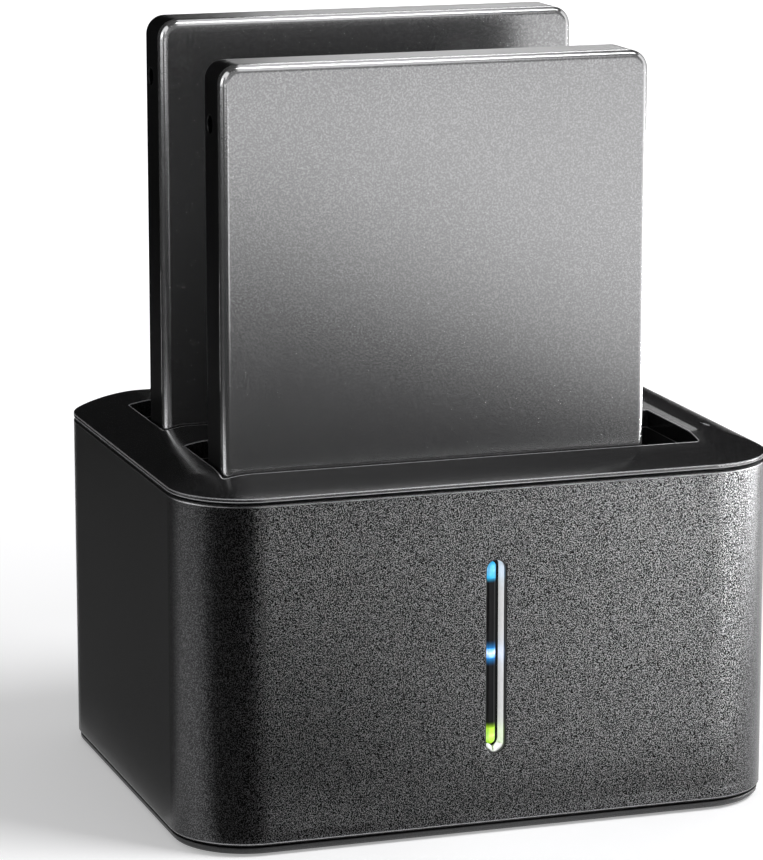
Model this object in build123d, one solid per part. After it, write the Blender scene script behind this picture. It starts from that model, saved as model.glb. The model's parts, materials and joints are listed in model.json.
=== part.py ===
from build123d import *
import os

# Dual-bay docking station with two 2.5-inch drives standing in it.
# Millimetres, +Z up. The origin is the middle of the footprint, on the surface it stands on.
# The front, with the light slot, faces -Y. The ports and buttons are on the rear, +Y.

os.makedirs("parts", exist_ok=True)

# General allowances
overrun = 1.0
fit_gap = 0.3
snug_gap = 0.1

# Body shell
corner_radius = 12.5
shell_height = 54.7
shell_wall = 2.0
shell_edge = 0.35

# Base plate
foot_proud = 0.45
base_rim_height = 1.0
base_rim_inset = 0.35
base_rim_round = 0.4
base_gap = 0.35
base_thickness = 2.6

# Top cover
seam_gap = 0.4
cover_rise = 3.9
cover_side_height = 0.55
cover_crown_inset = 11.0
cover_crown_shares = ((0.07, 0.28), (0.5, 0.85))
cover_ceiling_height = 0.9
skirt_length = 4.4
skirt_wall = 1.2
skirt_gap = 0.2

# Snaps between cover and shell
snap_x = 25.0
snap_length = 12.0
snap_height = 1.4
snap_rise = 0.7
snap_lug_proud = 0.5
snap_groove_depth = 0.7

# Drive bays
bay_side_room = 9.25
bay_back_room = 11.95
bay_corner = 0.6
bay_space = 11.7
bay_front_margin = 6.6
bay_rear_margin = 19.1
bay_left_margin = 7.4
bay_right_margin = 13.0
guide_wall = 1.2
guide_floor = 1.6
guide_flange = 1.4
guide_flange_rear = 8.5
rib_thickness = 1.6
rib_height_share = 0.6
rib_lead = 3.0
rib_gap = 0.35
back_rib_shares = (0.12, 0.5, 0.88)
side_rib_shares = (0.25, 0.75)
guide_screw_radius = 1.1
guide_screw_length = 3.6
guide_screw_head = 2.2
guide_screw_head_height = 1.2
guide_screw_engagement = 2.3

# Drives
drive_width = 69.85
drive_length = 100.2
drive_thickness = 9.5
drive_lid_thickness = 2.1
drive_corner = 3.0
drive_edge = 0.4
lid_edge = 1.0
drive_wall = 1.5
drive_side_gap = 0.5
drive_face_gap = 0.85

# Drive fixing holes, as the 2.5-inch form factor places them
drive_hole_radius = 1.45
drive_hole_depth = 2.4
drive_hole_low = 14.0
drive_hole_high = 9.6
drive_hole_rise = 3.0
drive_hole_inset = 4.07
drive_boss_side = 7.0
drive_boss_reach = 7.0

# Drive lid screws
lid_screw_inset = 10.5
lid_screw_end = 6.0
lid_screw_radius = 0.8
lid_screw_head = 1.7
lid_screw_head_height = 0.9
lid_screw_bite = 1.2
lid_post_radius = 2.6

# Drive board
drive_board_side_gap = 0.8
drive_board_end_gap = 31.7
drive_board_thickness = 0.9
drive_chip_width = 14.0
drive_chip_length = 18.0
drive_chip_height = 1.1
drive_chip_gap = 4.0
drive_chip_margin = 3.0

# Drive plug and dock socket
plug_inset = 21.5
plug_rise = 3.5
plug_cavity_depth = 4.9
plug_gap = 0.5
plug_wall = 0.8
plug_roof = 1.6
tongue_thickness = 1.2
tongue_gap = 0.45
signal_tongue = 10.4
power_tongue = 20.6
tongue_space = 2.4
tongue_hook = 1.1
tongue_setback = 0.4
socket_end = 2.1
socket_thickness = 5.2
socket_height = 9.0
rear_socket_extra = 3.4
socket_groove_depth = 5.0
contact_pitch = 1.27
contact_width = 0.6
contact_thickness = 0.15
contact_length = 3.6
signal_contacts = 7
power_contacts = 15

# Main board
board_height = 17.0
board_thickness = 1.6
board_side_gap = 4.0
board_front_gap = 3.8
board_rear_gap = 1.1
board_corner = 8.0
standoff_radius = 3.0
standoff_side = 10.5
standoff_front = 21.0
standoff_rear = 18.5
board_screw_radius = 0.9
board_screw_length = 7.0
board_screw_head = 2.3
board_screw_head_height = 1.5

# Base screws, feet and vents
boss_radius = 3.2
boss_inset = 5.2
boss_height = 11.0
base_screw_radius = 1.3
base_screw_length = 9.0
base_screw_head = 2.7
base_screw_head_height = 1.3
counterbore_depth = 1.4
foot_radius = 5.5
foot_thickness = 1.05
foot_inset = 14.0
vent_width = 2.0
vent_length = 46.0
vent_pitch = 5.0
vent_count = 9

# Light slot
light_width = 3.1
light_low_margin = 11.65
light_high_margin = 11.7
light_depth = 3.35
bezel_wall = 0.2
bezel_recess = 0.15
bezel_flange = 0.9
mask_thickness = 0.5
mask_border = 1.4
strip_width = 1.6
strip_proud = 1.2
lens_end_height = 2.7
lens_middle_height = 1.6
led_height = 0.5
led_width = 1.4
led_length = 2.0
led_board_thickness = 0.8
led_board_width = 8.0
led_board_border = 7.0
stake_radius = 1.0
stake_base_radius = 2.0
stake_inset = 2.4
header_width = 7.0
header_depth = 3.4
header_height = 1.8
header_pins = 5
header_pitch = 1.27
header_pin_side = 0.4
header_pin_proud = 0.3

# Rear ports, placed across the rear wall
jack_x = -30.0
jack_width = 9.0
jack_height = 11.0
jack_depth = 14.0
jack_nose_radius = 4.2
jack_bore = 3.15
jack_bore_depth = 9.5
jack_pin_radius = 1.05
jack_pin_setback = 1.0
usb_x = -12.0
usb_width = 8.45
usb_height = 7.78
usb_top_width = 5.0
usb_top_height = 2.9
usb_chamfer = 1.7
usb_shell_wall = 0.5
usb_depth = 16.0
usb_recess = 0.4
usb_back_length = 5.0
usb_tongue_width = 5.6
usb_tongue_height = 3.2
usb_tongue_length = 9.0
usb_top_tongue_width = 3.8
usb_top_tongue_height = 0.9

# Rear buttons
clone_x = 9.0
clone_button_radius = 2.6
clone_switch_width = 6.0
power_x = 27.0
power_button_radius = 4.0
power_switch_width = 8.4
switch_depth = 7.0
plunger_radius = 1.5
plunger_length = 4.0
button_rise = 5.8
button_recess = 0.2
button_travel = 1.2
button_flange = 0.8
button_flange_thickness = 0.8
button_edge = 0.35

# Small parts on the board
bridge_side = 10.0
bridge_height = 1.4
flash_width = 6.0
flash_length = 5.0
flash_height = 1.5
crystal_width = 5.0
crystal_length = 3.2
crystal_height = 0.9
board_part_gap = 3.0
inductor_side = 6.8
inductor_height = 3.2
inductor_round = 1.2
inductor_pitch = 12.0
capacitor_radius = 3.15
capacitor_height = 7.8
capacitor_edge = 0.5
capacitor_setback = 11.3
resistor_length = 2.0
resistor_width = 1.25
resistor_height = 0.6
resistor_pitch = 3.2
resistor_count = 6

# Plan sizes that follow from the drives
bay_width = drive_side_gap + drive_width + bay_side_room
bay_depth = drive_face_gap + drive_thickness + bay_back_room
bay_pitch = bay_depth + bay_space
body_width = bay_left_margin + bay_width + bay_right_margin
body_depth = bay_front_margin + bay_pitch + bay_depth + bay_rear_margin
board_width = body_width - 2 * (shell_wall + board_side_gap)
socket_width = signal_tongue + tongue_space + power_tongue + 2 * socket_end
plug_cavity_width = socket_width + 2 * plug_gap
plug_cavity_thickness = socket_thickness + 2 * plug_gap
drive_board_width = drive_width - 2 * (lid_screw_inset + lid_post_radius + drive_board_side_gap)
drive_board_length = drive_length - plug_cavity_depth - plug_roof - drive_board_end_gap

# Levels
base_bottom = foot_proud
rim_top = base_bottom + base_rim_height
base_top = base_bottom + base_thickness
shell_bottom = rim_top + base_gap
shell_top = shell_bottom + shell_height
cover_bottom = shell_top + seam_gap
cover_top = cover_bottom + cover_rise
ceiling = cover_bottom + cover_ceiling_height
skirt_bottom = cover_bottom - skirt_length
board_top = board_height + board_thickness

# Main faces
front_face = -body_depth / 2
rear_face = body_depth / 2
inner_front = front_face + shell_wall
inner_rear = rear_face - shell_wall
board_front = inner_front + board_front_gap
board_rear = inner_rear - board_rear_gap

# Bays and drives in plan
bay_left = -body_width / 2 + bay_left_margin
bay_right = bay_left + bay_width
bay_x = (bay_left + bay_right) / 2
front_bay_y = front_face + bay_front_margin
rear_bay_y = front_bay_y + bay_pitch
between_bays = (front_bay_y + bay_depth + rear_bay_y) / 2
drive_left = bay_left + drive_side_gap
drive_right = drive_left + drive_width
drive_x = (drive_left + drive_right) / 2
plug_x = drive_left + plug_inset

# Screw, foot and standoff places
boss_x = body_width / 2 - shell_wall - boss_inset
boss_y = body_depth / 2 - shell_wall - boss_inset
boss_places = [(sx * boss_x, sy * boss_y) for sx in (-1, 1) for sy in (-1, 1)]
foot_x = body_width / 2 - foot_inset
foot_y = body_depth / 2 - foot_inset
foot_places = [(sx * foot_x, sy * foot_y) for sx in (-1, 1) for sy in (-1, 1)]
standoff_x = body_width / 2 - standoff_side
standoff_rows = (front_face + standoff_front, rear_face - standoff_rear)
standoff_places = [(side * standoff_x, y) for side in (-1, 1) for y in standoff_rows]
guide_inset = shell_wall + skirt_gap + skirt_wall + fit_gap
guide_side_x = (bay_right + guide_wall + body_width / 2 - guide_inset) / 2
guide_back_y = rear_bay_y + bay_depth + guide_wall + guide_flange_rear / 2
guide_screw_places = [
    (drive_left + lid_screw_inset, between_bays),
    (drive_left + lid_screw_inset, guide_back_y),
    (guide_side_x, front_bay_y + bay_depth / 2),
    (guide_side_x, rear_bay_y + bay_depth / 2),
]

# Light slot levels and depths
light_bottom = shell_bottom + light_low_margin
light_height = shell_height - light_low_margin - light_high_margin
light_mid = light_bottom + light_height / 2
light_floor = front_face + light_depth
mask_back = light_floor + mask_thickness
led_board_front = mask_back + led_height
led_board_back = led_board_front + led_board_thickness
led_board_bottom = light_bottom - led_board_border
led_board_top = light_bottom + light_height + led_board_border
stake_levels = (led_board_bottom + stake_inset, led_board_top - stake_inset)
strip_height = light_height - (light_width - strip_width)
strip_bottom = light_mid - strip_height / 2
strip_top = light_mid + strip_height / 2
led_levels = (strip_bottom + lens_end_height / 2, light_mid, strip_top - lens_end_height / 2)

# Port and button levels
jack_z = board_top + jack_height / 2
usb_bottom = board_top + usb_shell_wall
button_z = board_top + button_rise
button_seat = inner_rear - fit_gap
button_back = button_seat - button_flange_thickness
switch_face = button_back - button_travel - fit_gap
buttons = {
    "clone": (clone_x, clone_button_radius, clone_switch_width),
    "power": (power_x, power_button_radius, power_switch_width),
}


def block(x0, x1, y0, y1, z0, z1):
    """Plain block between two corners."""
    solid = Box(x1 - x0, y1 - y0, z1 - z0, align=(Align.MIN, Align.MIN, Align.MIN))
    return Pos(x0, y0, z0) * solid


def centred_block(width, depth, x, y, z0, z1):
    """Block centred on a point in plan."""
    return block(x - width / 2, x + width / 2, y - depth / 2, y + depth / 2, z0, z1)


def rounded_block(width, depth, radius, x, y, z0, z1):
    """Upright prism with a rounded rectangle for its plan."""
    return extrude(Pos(x, y, z0) * RectangleRounded(width, depth, radius), z1 - z0)


def inset_block(inset, z0, z1):
    """The body's plan drawn in all round by an inset."""
    width = body_width - 2 * inset
    depth = body_depth - 2 * inset
    return rounded_block(width, depth, corner_radius - inset, 0, 0, z0, z1)


def post(radius, x, y, z0, z1):
    """Upright round post or hole."""
    solid = Cylinder(radius, z1 - z0, align=(Align.CENTER, Align.CENTER, Align.MIN))
    return Pos(x, y, z0) * solid


def rod_y(radius, x, z, y0, y1):
    """Round rod or hole along Y."""
    solid = Cylinder(radius, y1 - y0, align=(Align.CENTER, Align.CENTER, Align.MIN))
    return Pos(x, y0, z) * Rot(X=-90) * solid


def rod_x(radius, y, z, x0, x1):
    """Round rod or hole along X."""
    solid = Cylinder(radius, x1 - x0, align=(Align.CENTER, Align.CENTER, Align.MIN))
    return Pos(x0, y, z) * Rot(Y=90) * solid


def prism_y(sketch, x, z, y0, y1):
    """An outline drawn in X and Z, extruded along Y."""
    return extrude(Pos(x, y1, z) * Rot(X=90) * sketch, y1 - y0)


def light_prism(grow, y0, y1):
    """The light slot's outline, with round ends, grown all round and extruded along Y."""
    outline = SlotOverall(light_height + 2 * grow, light_width + 2 * grow, rotation=90)
    return prism_y(outline, 0, light_mid, y0, y1)


def strip_prism(grow, y0, y1):
    """The light strip's outline with round ends, extruded along Y."""
    outline = SlotOverall(strip_height + 2 * grow, strip_width + 2 * grow, rotation=90)
    return prism_y(outline, 0, light_mid, y0, y1)


def join(pieces):
    """Fuse a list of pieces that belong to one moulding."""
    return pieces[0].fuse(*pieces[1:])


def save(name, pieces):
    """Write one node: a single piece or a group of like pieces."""
    group = pieces if isinstance(pieces, list) else [pieces]
    solids = [solid for piece in group for solid in piece.solids()]
    shape = solids[0] if len(solids) == 1 else Compound(children=solids)
    export_step(shape, "parts/" + name + ".step")


# Body shell, cover and base

def bay_block(grow, y, z0, z1):
    """A bay's plan, grown all round, as an upright prism. y is the bay's front edge."""
    width = bay_width + 2 * grow
    depth = bay_depth + 2 * grow
    return rounded_block(width, depth, bay_corner + grow, bay_x, y + bay_depth / 2, z0, z1)


def usb_outline(grow):
    """Outline of the square port with its narrow upper step, grown all round."""
    half = usb_width / 2 + grow
    half_top = usb_top_width / 2 + grow
    bevel = usb_height + grow - usb_chamfer
    shoulder = usb_height + grow
    high = usb_height + usb_top_height + grow
    right = [(half, -grow), (half, bevel), (half - usb_chamfer, shoulder), (half_top, shoulder), (half_top, high)]
    left = [(-x, z) for x, z in reversed(right)]
    return make_face(Polyline(*right, *left, close=True))


def usb_prism(grow, y0, y1):
    """The square port's outline extruded along Y."""
    return prism_y(usb_outline(grow), usb_x, usb_bottom, y0, y1)


def body_shell():
    """Sleeve with the light slot in front, the port cut-outs behind and four screw posts."""
    outer = inset_block(0, shell_bottom, shell_top)
    rims = outer.faces().sort_by(Axis.Z)
    outer = chamfer(rims[-1].edges() + rims[0].edges(), shell_edge)
    shell = outer - inset_block(shell_wall, shell_bottom - overrun, shell_top + overrun)
    post_limit = inset_block(shell_wall - shell_edge, base_top, base_top + boss_height)
    parts = [shell]
    for x, y in boss_places:
        parts.append(post(boss_radius, x, y, base_top, base_top + boss_height) & post_limit)
    for z in stake_levels:
        parts.append(rod_y(stake_base_radius, 0, z, inner_front - shell_edge, led_board_front))
        parts.append(rod_y(stake_radius, 0, z, inner_front, led_board_back))
    shell = join(parts)
    for x, y in boss_places:
        hole_top = base_top + base_screw_length
        shell -= post(base_screw_radius + snug_gap / 2, x, y, base_top - overrun, hole_top)
    shell -= light_prism(bezel_wall, front_face - overrun, inner_front + overrun)
    for side in (-1, 1):
        for x in (-snap_x, snap_x):
            groove_low = skirt_bottom + snap_rise
            shell -= centred_block(snap_length, 2 * snap_groove_depth, x, side * inner_rear,
                                   groove_low, groove_low + snap_height)
    shell -= rod_y(jack_nose_radius + fit_gap, jack_x, jack_z, inner_rear - overrun, rear_face + overrun)
    shell -= usb_prism(usb_shell_wall + fit_gap, inner_rear - overrun, rear_face + overrun)
    for x, radius, _ in buttons.values():
        shell -= rod_y(radius + fit_gap, x, button_z, inner_rear - overrun, rear_face + overrun)
    return shell


def cover_section():
    """Half profile of the cover's crown: a low side wall that rolls over into the top."""
    first, second = cover_crown_shares
    run = cover_crown_inset
    rise = cover_rise
    side = Line((0, 0), (0, cover_side_height))
    crown = Bezier(
        (0, cover_side_height), (first[0] * run, first[1] * rise),
        (second[0] * run, second[1] * rise), (run, rise),
    )
    inner = Polyline((run, rise), (run, 0), (0, 0))
    return make_face(side + crown + inner)


def cover_outer():
    """Crowned slab: the profile swept round the body's outline, filled in the middle."""
    outline = Pos(0, 0, cover_bottom) * RectangleRounded(body_width, body_depth, corner_radius)
    path = outline.wire()
    ahead = path % 0
    section = Plane(origin=path @ 0, x_dir=(-ahead.Y, ahead.X, 0), z_dir=ahead)
    ring = sweep(section * cover_section(), path=path)
    middle = inset_block(cover_crown_inset, cover_bottom, cover_top)
    return join([ring, middle])


def top_cover():
    """Crowned cover with two bays, a skirt inside the shell and four snap lugs."""
    skirt_out = shell_wall + skirt_gap
    skirt_in = skirt_out + skirt_wall
    hollow = inset_block(skirt_in, skirt_bottom - overrun, ceiling)
    skirt = inset_block(skirt_out, skirt_bottom, cover_bottom + cover_side_height)
    cover = join([cover_outer(), skirt]) - hollow
    lugs = [cover]
    lug_low = skirt_bottom + snap_rise
    for side in (-1, 1):
        for x in (-snap_x, snap_x):
            y = side * (rear_face - skirt_out)
            lugs.append(centred_block(snap_length - 2 * fit_gap, 2 * snap_lug_proud, x, y,
                                      lug_low, lug_low + snap_height))
    cover = join(lugs)
    for y in (front_bay_y, rear_bay_y):
        cover -= bay_block(0, y, ceiling - overrun, cover_top + overrun)
    for x, y in guide_screw_places:
        cover -= post(guide_screw_radius, x, y, ceiling - overrun, ceiling + guide_screw_engagement)
    return cover


def base_plate():
    """Plate that plugs into the shell, with a rim, vents, foot seats and board standoffs."""
    rim = inset_block(base_rim_inset, base_bottom, rim_top)
    rim = chamfer(rim.faces().sort_by(Axis.Z)[0].edges(), base_rim_round)
    plug = inset_block(shell_wall + skirt_gap, base_bottom + base_rim_round, base_top)
    posts = [post(standoff_radius, x, y, base_top, board_height) for x, y in standoff_places]
    plate = join([rim, plug] + posts)
    for x, y in standoff_places:
        plate -= post(board_screw_radius, x, y, board_top - board_screw_length, board_top)
    for x, y in boss_places:
        plate -= post(base_screw_radius + fit_gap, x, y, base_bottom, base_top + overrun)
        plate -= post(base_screw_head + fit_gap, x, y, base_bottom - overrun, base_bottom + counterbore_depth)
    for x, y in foot_places:
        plate -= post(foot_radius + snug_gap, x, y, base_bottom - overrun, foot_thickness)
    for i in range(vent_count):
        x = (i - (vent_count - 1) / 2) * vent_pitch
        slot = Pos(x, 0, base_bottom - overrun) * SlotOverall(vent_length, vent_width, rotation=90)
        plate -= extrude(slot, base_thickness + 2 * overrun)
    return plate


def rubber_feet():
    """Four round pads seated in the base."""
    return [post(foot_radius, x, y, 0, foot_thickness) for x, y in foot_places]


def screw(radius, length, head, head_height, x, y, z, up):
    """Pan-head screw. z is the underside of the head and up is the way that the head points."""
    if up > 0:
        shank = post(radius, x, y, z - length, z)
        cap = post(head, x, y, z, z + head_height)
        rim = cap.faces().sort_by(Axis.Z)[-1].edges()
    else:
        shank = post(radius, x, y, z, z + length)
        cap = post(head, x, y, z - head_height, z)
        rim = cap.faces().sort_by(Axis.Z)[0].edges()
    return shank + chamfer(rim, head_height / 3)


def base_screws():
    """Screws that hold the base to the shell's posts, from below."""
    head_seat = base_bottom + counterbore_depth
    return [
        screw(base_screw_radius, base_screw_length, base_screw_head, base_screw_head_height, x, y, head_seat, -1)
        for x, y in boss_places
    ]


# Drive bays

def bay_floor(z_drive):
    """Top of a bay's floor, just under the drive that stands in it."""
    return z_drive - fit_gap


def drive_bottom(height):
    """Level of a drive's end, from the height of the socket that it plugs onto."""
    return board_top + height + fit_gap - plug_cavity_depth


bays = {
    "front": (front_bay_y, socket_height, drive_bottom(socket_height)),
    "rear": (rear_bay_y, socket_height + rear_socket_extra, drive_bottom(socket_height + rear_socket_extra)),
}


def plug_y(y_bay):
    """Middle of the plug and socket, in the thickness of the drive."""
    return y_bay + drive_face_gap + drive_thickness - plug_rise


def back_rib(x, y0, y1, z0, z1):
    """Upright rib behind a drive, with a sloped top that leads the drive in."""
    outline = make_face(Polyline((y0, z0), (y1, z0), (y1, z1 + rib_lead), (y0, z1), close=True))
    plane = Plane(origin=(x - rib_thickness / 2, 0, 0), x_dir=(0, 1, 0), z_dir=(1, 0, 0))
    return extrude(plane * outline, rib_thickness)


def side_rib(y, x0, x1, z0, z1):
    """Upright rib beside a drive, with a sloped top."""
    outline = make_face(Polyline((x0, z0), (x1, z0), (x1, z1 + rib_lead), (x0, z1), close=True))
    return prism_y(outline, 0, 0, y - rib_thickness / 2, y + rib_thickness / 2)


def bay_ribs(y_bay, floor):
    """Ribs that hold a drive in the front left corner of its bay."""
    face = y_bay + drive_face_gap
    back = face + drive_thickness
    top = floor + rib_height_share * (ceiling - floor)
    ribs = []
    for share in back_rib_shares:
        x = drive_left + share * drive_width
        ribs.append(back_rib(x, back + rib_gap, y_bay + bay_depth + guide_wall / 2, floor, top))
    for share in side_rib_shares:
        y = face + share * drive_thickness
        ribs.append(side_rib(y, drive_right + rib_gap, bay_right + guide_wall / 2, floor, top))
    return ribs


def bay_guide():
    """One moulding that hangs under the cover: two deep wells with floors, ribs and windows."""
    flange_rear = rear_bay_y + bay_depth + guide_wall + guide_flange_rear
    flange_limit = block(-body_width / 2, body_width / 2, front_face, flange_rear, ceiling - guide_flange, ceiling)
    parts = [inset_block(guide_inset, ceiling - guide_flange, ceiling) & flange_limit]
    for y, height, z_drive in bays.values():
        floor = bay_floor(z_drive)
        parts.append(bay_block(guide_wall, y, floor - guide_floor, ceiling))
    guide = join(parts)
    for y, height, z_drive in bays.values():
        floor = bay_floor(z_drive)
        guide -= bay_block(0, y, floor, ceiling + overrun)
        guide -= centred_block(socket_width + 2 * fit_gap, socket_thickness + 2 * fit_gap, plug_x, plug_y(y),
                               floor - guide_floor - overrun, floor + overrun)
    ribs = [rib for y, height, z_drive in bays.values() for rib in bay_ribs(y, bay_floor(z_drive))]
    guide = join([guide] + ribs)
    for x, y in guide_screw_places:
        guide -= post(guide_screw_radius + fit_gap, x, y, ceiling - guide_flange - overrun, ceiling + overrun)
    return guide


def guide_screws():
    """Screws that hold the bay guide up against the cover."""
    return [
        screw(guide_screw_radius, guide_screw_length, guide_screw_head, guide_screw_head_height, x, y,
              ceiling - guide_flange, -1)
        for x, y in guide_screw_places
    ]


# Drive plug, dock socket and their contacts

def tongue_spans():
    """Left and right ends of the signal and power tongues."""
    total = signal_tongue + tongue_space + power_tongue
    left = plug_x - total / 2
    signal_end = left + signal_tongue
    power_start = signal_end + tongue_space
    return [(left, signal_end, signal_contacts, 1), (power_start, power_start + power_tongue, power_contacts, -1)]


def tongue_prisms(grow, y, z0, z1):
    """Both tongues with the hooked ends that make them fit one way only, grown all round."""
    half = tongue_thickness / 2
    pieces = []
    for left, right, count, hook_side in tongue_spans():
        pieces.append(block(left - grow, right + grow, y - half - grow, y + half + grow, z0, z1))
        hook_left = left if hook_side > 0 else right - tongue_thickness
        pieces.append(block(hook_left - grow, hook_left + tongue_thickness + grow,
                            y + half, y + half + tongue_hook + grow, z0, z1))
    return pieces


def contact_row(y, z0, z1):
    """One contact pad for each way of both tongues. y is the pad's front face."""
    pads = []
    for left, right, count, hook_side in tongue_spans():
        middle = (left + right) / 2
        for i in range(count):
            x = middle + (i - (count - 1) / 2) * contact_pitch
            pads.append(block(x - contact_width / 2, x + contact_width / 2, y, y + contact_thickness, z0, z1))
    return pads


def drive_socket(y_bay, height):
    """Upright socket on the main board with a groove for each tongue of the drive's plug."""
    y = plug_y(y_bay)
    top = board_top + height
    body = centred_block(socket_width, socket_thickness, plug_x, y, board_top, top)
    body = chamfer(body.faces().sort_by(Axis.Z)[-1].edges(), fit_gap)
    for groove in tongue_prisms(tongue_gap, y, top - socket_groove_depth, top + overrun):
        body -= groove
    return body


def socket_contacts(y_bay, height):
    """Spring contacts against the front wall of the socket's grooves."""
    y = plug_y(y_bay) - tongue_thickness / 2 - tongue_gap
    low = board_top + height - socket_groove_depth
    return contact_row(y, low, low + contact_length)


def drive_contacts(y_bay, z_drive):
    """Contact pads let flush into the front face of the drive's tongues."""
    y = plug_y(y_bay) - tongue_thickness / 2
    low = z_drive + 2 * tongue_setback
    return contact_row(y, low, low + contact_length)


def plug_box(y_bay, grow_roof):
    """Size of the plug moulding: left, right, front, back and height over the drive's end."""
    half_width = plug_cavity_width / 2 + plug_wall
    y = plug_y(y_bay)
    front = y - plug_cavity_thickness / 2 - plug_wall
    back = y_bay + drive_face_gap + drive_thickness
    return plug_x - half_width, plug_x + half_width, front, back, plug_cavity_depth + grow_roof


def drive_plug(y_bay, z_drive):
    """Hooded plug in the drive's end, with two hooked tongues inside it."""
    left, right, front, back, height = plug_box(y_bay, plug_roof)
    y = plug_y(y_bay)
    roof = z_drive + plug_cavity_depth
    hood = block(left, right, front, back, z_drive, z_drive + height)
    hood -= centred_block(plug_cavity_width, plug_cavity_thickness, plug_x, y, z_drive - overrun, roof)
    plug = join([hood] + tongue_prisms(0, y, z_drive + tongue_setback, roof))
    for pad in drive_contacts(y_bay, z_drive):
        plug -= pad
    return plug


# Drives

def drive_outline():
    """Face outline of a drive, drawn about its middle."""
    return RectangleRounded(drive_width, drive_length, drive_corner)


def lid_screw_places(z_drive):
    """Lid screws near the four corners, in X and Z."""
    xs = (drive_left + lid_screw_inset, drive_right - lid_screw_inset)
    zs = (z_drive + plug_cavity_depth + plug_roof + lid_screw_end, z_drive + drive_length - lid_screw_end)
    return [(x, z) for x in xs for z in zs]


def drive_case(y_bay, z_drive):
    """Case tray, open towards the lid, with fixing bosses, screw posts and the plug notch."""
    y0 = y_bay + drive_face_gap + drive_lid_thickness
    y1 = y_bay + drive_face_gap + drive_thickness
    middle = z_drive + drive_length / 2
    case = prism_y(drive_outline(), drive_x, middle, y0, y1)
    case = chamfer(case.faces().sort_by(Axis.Y)[-1].edges(), drive_edge)
    inner = RectangleRounded(drive_width - 2 * drive_wall, drive_length - 2 * drive_wall, drive_corner - drive_wall)
    case -= prism_y(inner, drive_x, middle, y0 - overrun, y1 - drive_wall)
    parts = [case]
    levels = (z_drive + drive_hole_low, z_drive + drive_length - drive_hole_high)
    for z in levels:
        z0 = z - drive_boss_side / 2
        z1 = z + drive_boss_side / 2
        parts.append(block(drive_left + drive_edge, drive_left + drive_boss_reach, y0, y1 - drive_edge, z0, z1))
        parts.append(block(drive_right - drive_boss_reach, drive_right - drive_edge, y0, y1 - drive_edge, z0, z1))
    for x, z in lid_screw_places(z_drive):
        parts.append(rod_y(lid_post_radius, x, z, y0, y1 - drive_edge))
    case = join(parts)
    side_y = y1 - drive_hole_rise
    for z in levels:
        case -= rod_x(drive_hole_radius, side_y, z, drive_left - overrun, drive_left + drive_hole_depth)
        case -= rod_x(drive_hole_radius, side_y, z, drive_right - drive_hole_depth, drive_right + overrun)
        for x in (drive_left + drive_hole_inset, drive_right - drive_hole_inset):
            case -= rod_y(drive_hole_radius, x, z, y1 - drive_hole_depth, y1 + overrun)
    for x, z in lid_screw_places(z_drive):
        case -= rod_y(lid_screw_radius, x, z, y0 - overrun, y1 + overrun)
        case -= rod_y(lid_screw_head + snug_gap / 2, x, z, y1 - lid_screw_head_height, y1 + overrun)
    left, right, front, back, height = plug_box(y_bay, plug_roof)
    case -= block(left, right, front, back + overrun, z_drive - overrun, z_drive + height)
    return case


def drive_lid(y_bay, z_drive):
    """Plain face plate with a bright bevelled edge and blind screw holes behind."""
    y0 = y_bay + drive_face_gap
    y1 = y0 + drive_lid_thickness
    lid = prism_y(drive_outline(), drive_x, z_drive + drive_length / 2, y0, y1)
    lid = chamfer(lid.faces().sort_by(Axis.Y)[0].edges(), lid_edge)
    for x, z in lid_screw_places(z_drive):
        lid -= rod_y(lid_screw_radius, x, z, y1 - lid_screw_bite, y1 + overrun)
    return lid


def drive_screws(y_bay, z_drive):
    """Flush screws from the back of the case into the lid."""
    back = y_bay + drive_face_gap + drive_thickness
    tip = y_bay + drive_face_gap + drive_lid_thickness - lid_screw_bite
    screws = []
    for x, z in lid_screw_places(z_drive):
        shank = rod_y(lid_screw_radius, x, z, tip, back - lid_screw_head_height)
        head = rod_y(lid_screw_head, x, z, back - lid_screw_head_height, back)
        screws.append(shank + head)
    return screws


def drive_board(y_bay, z_drive):
    """Board soldered to the top of the plug, between the fixing bosses."""
    y = plug_y(y_bay)
    low = z_drive + plug_cavity_depth + plug_roof
    return centred_block(drive_board_width, drive_board_thickness, drive_x, y, low, low + drive_board_length)


def drive_chips(y_bay, z_drive):
    """Memory and controller chips on the lid side of the board, two by two."""
    face = plug_y(y_bay) - drive_board_thickness / 2
    low = z_drive + plug_cavity_depth + plug_roof + 2 * lid_screw_end + drive_chip_margin
    chips = []
    for side in (-1, 1):
        for row in (0, 1):
            x = drive_x + side * (drive_chip_width + drive_chip_gap) / 2
            z = low + row * (drive_chip_length + drive_chip_gap)
            chips.append(block(x - drive_chip_width / 2, x + drive_chip_width / 2, face - drive_chip_height, face,
                               z, z + drive_chip_length))
    return chips


# Main board and what stands on it

def main_board():
    """Board on the base plate's standoffs."""
    depth = board_rear - board_front
    middle = (board_front + board_rear) / 2
    board = rounded_block(board_width, depth, board_corner, 0, middle, board_height, board_top)
    for x, y in standoff_places:
        board -= post(board_screw_radius + snug_gap, x, y, board_height - overrun, board_top + overrun)
    return board


def board_screws():
    """Screws that hold the main board to the standoffs."""
    return [
        screw(board_screw_radius, board_screw_length, board_screw_head, board_screw_head_height, x, y, board_top, 1)
        for x, y in standoff_places
    ]


def chip_column():
    """Middle of the free board to the right of the sockets."""
    return (plug_x + socket_width / 2 + standoff_x) / 2


def bridge_chips():
    """One interface chip beside each socket."""
    x = chip_column()
    return [
        centred_block(bridge_side, bridge_side, x, y + bay_depth / 2, board_top, board_top + bridge_height)
        for y in (front_bay_y, rear_bay_y)
    ]


def flash_chip():
    """Firmware chip to the left of the front interface chip."""
    x = chip_column() - bridge_side / 2 - board_part_gap - flash_width / 2
    y = front_bay_y + bay_depth / 2
    return centred_block(flash_width, flash_length, x, y, board_top, board_top + flash_height)


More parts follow.
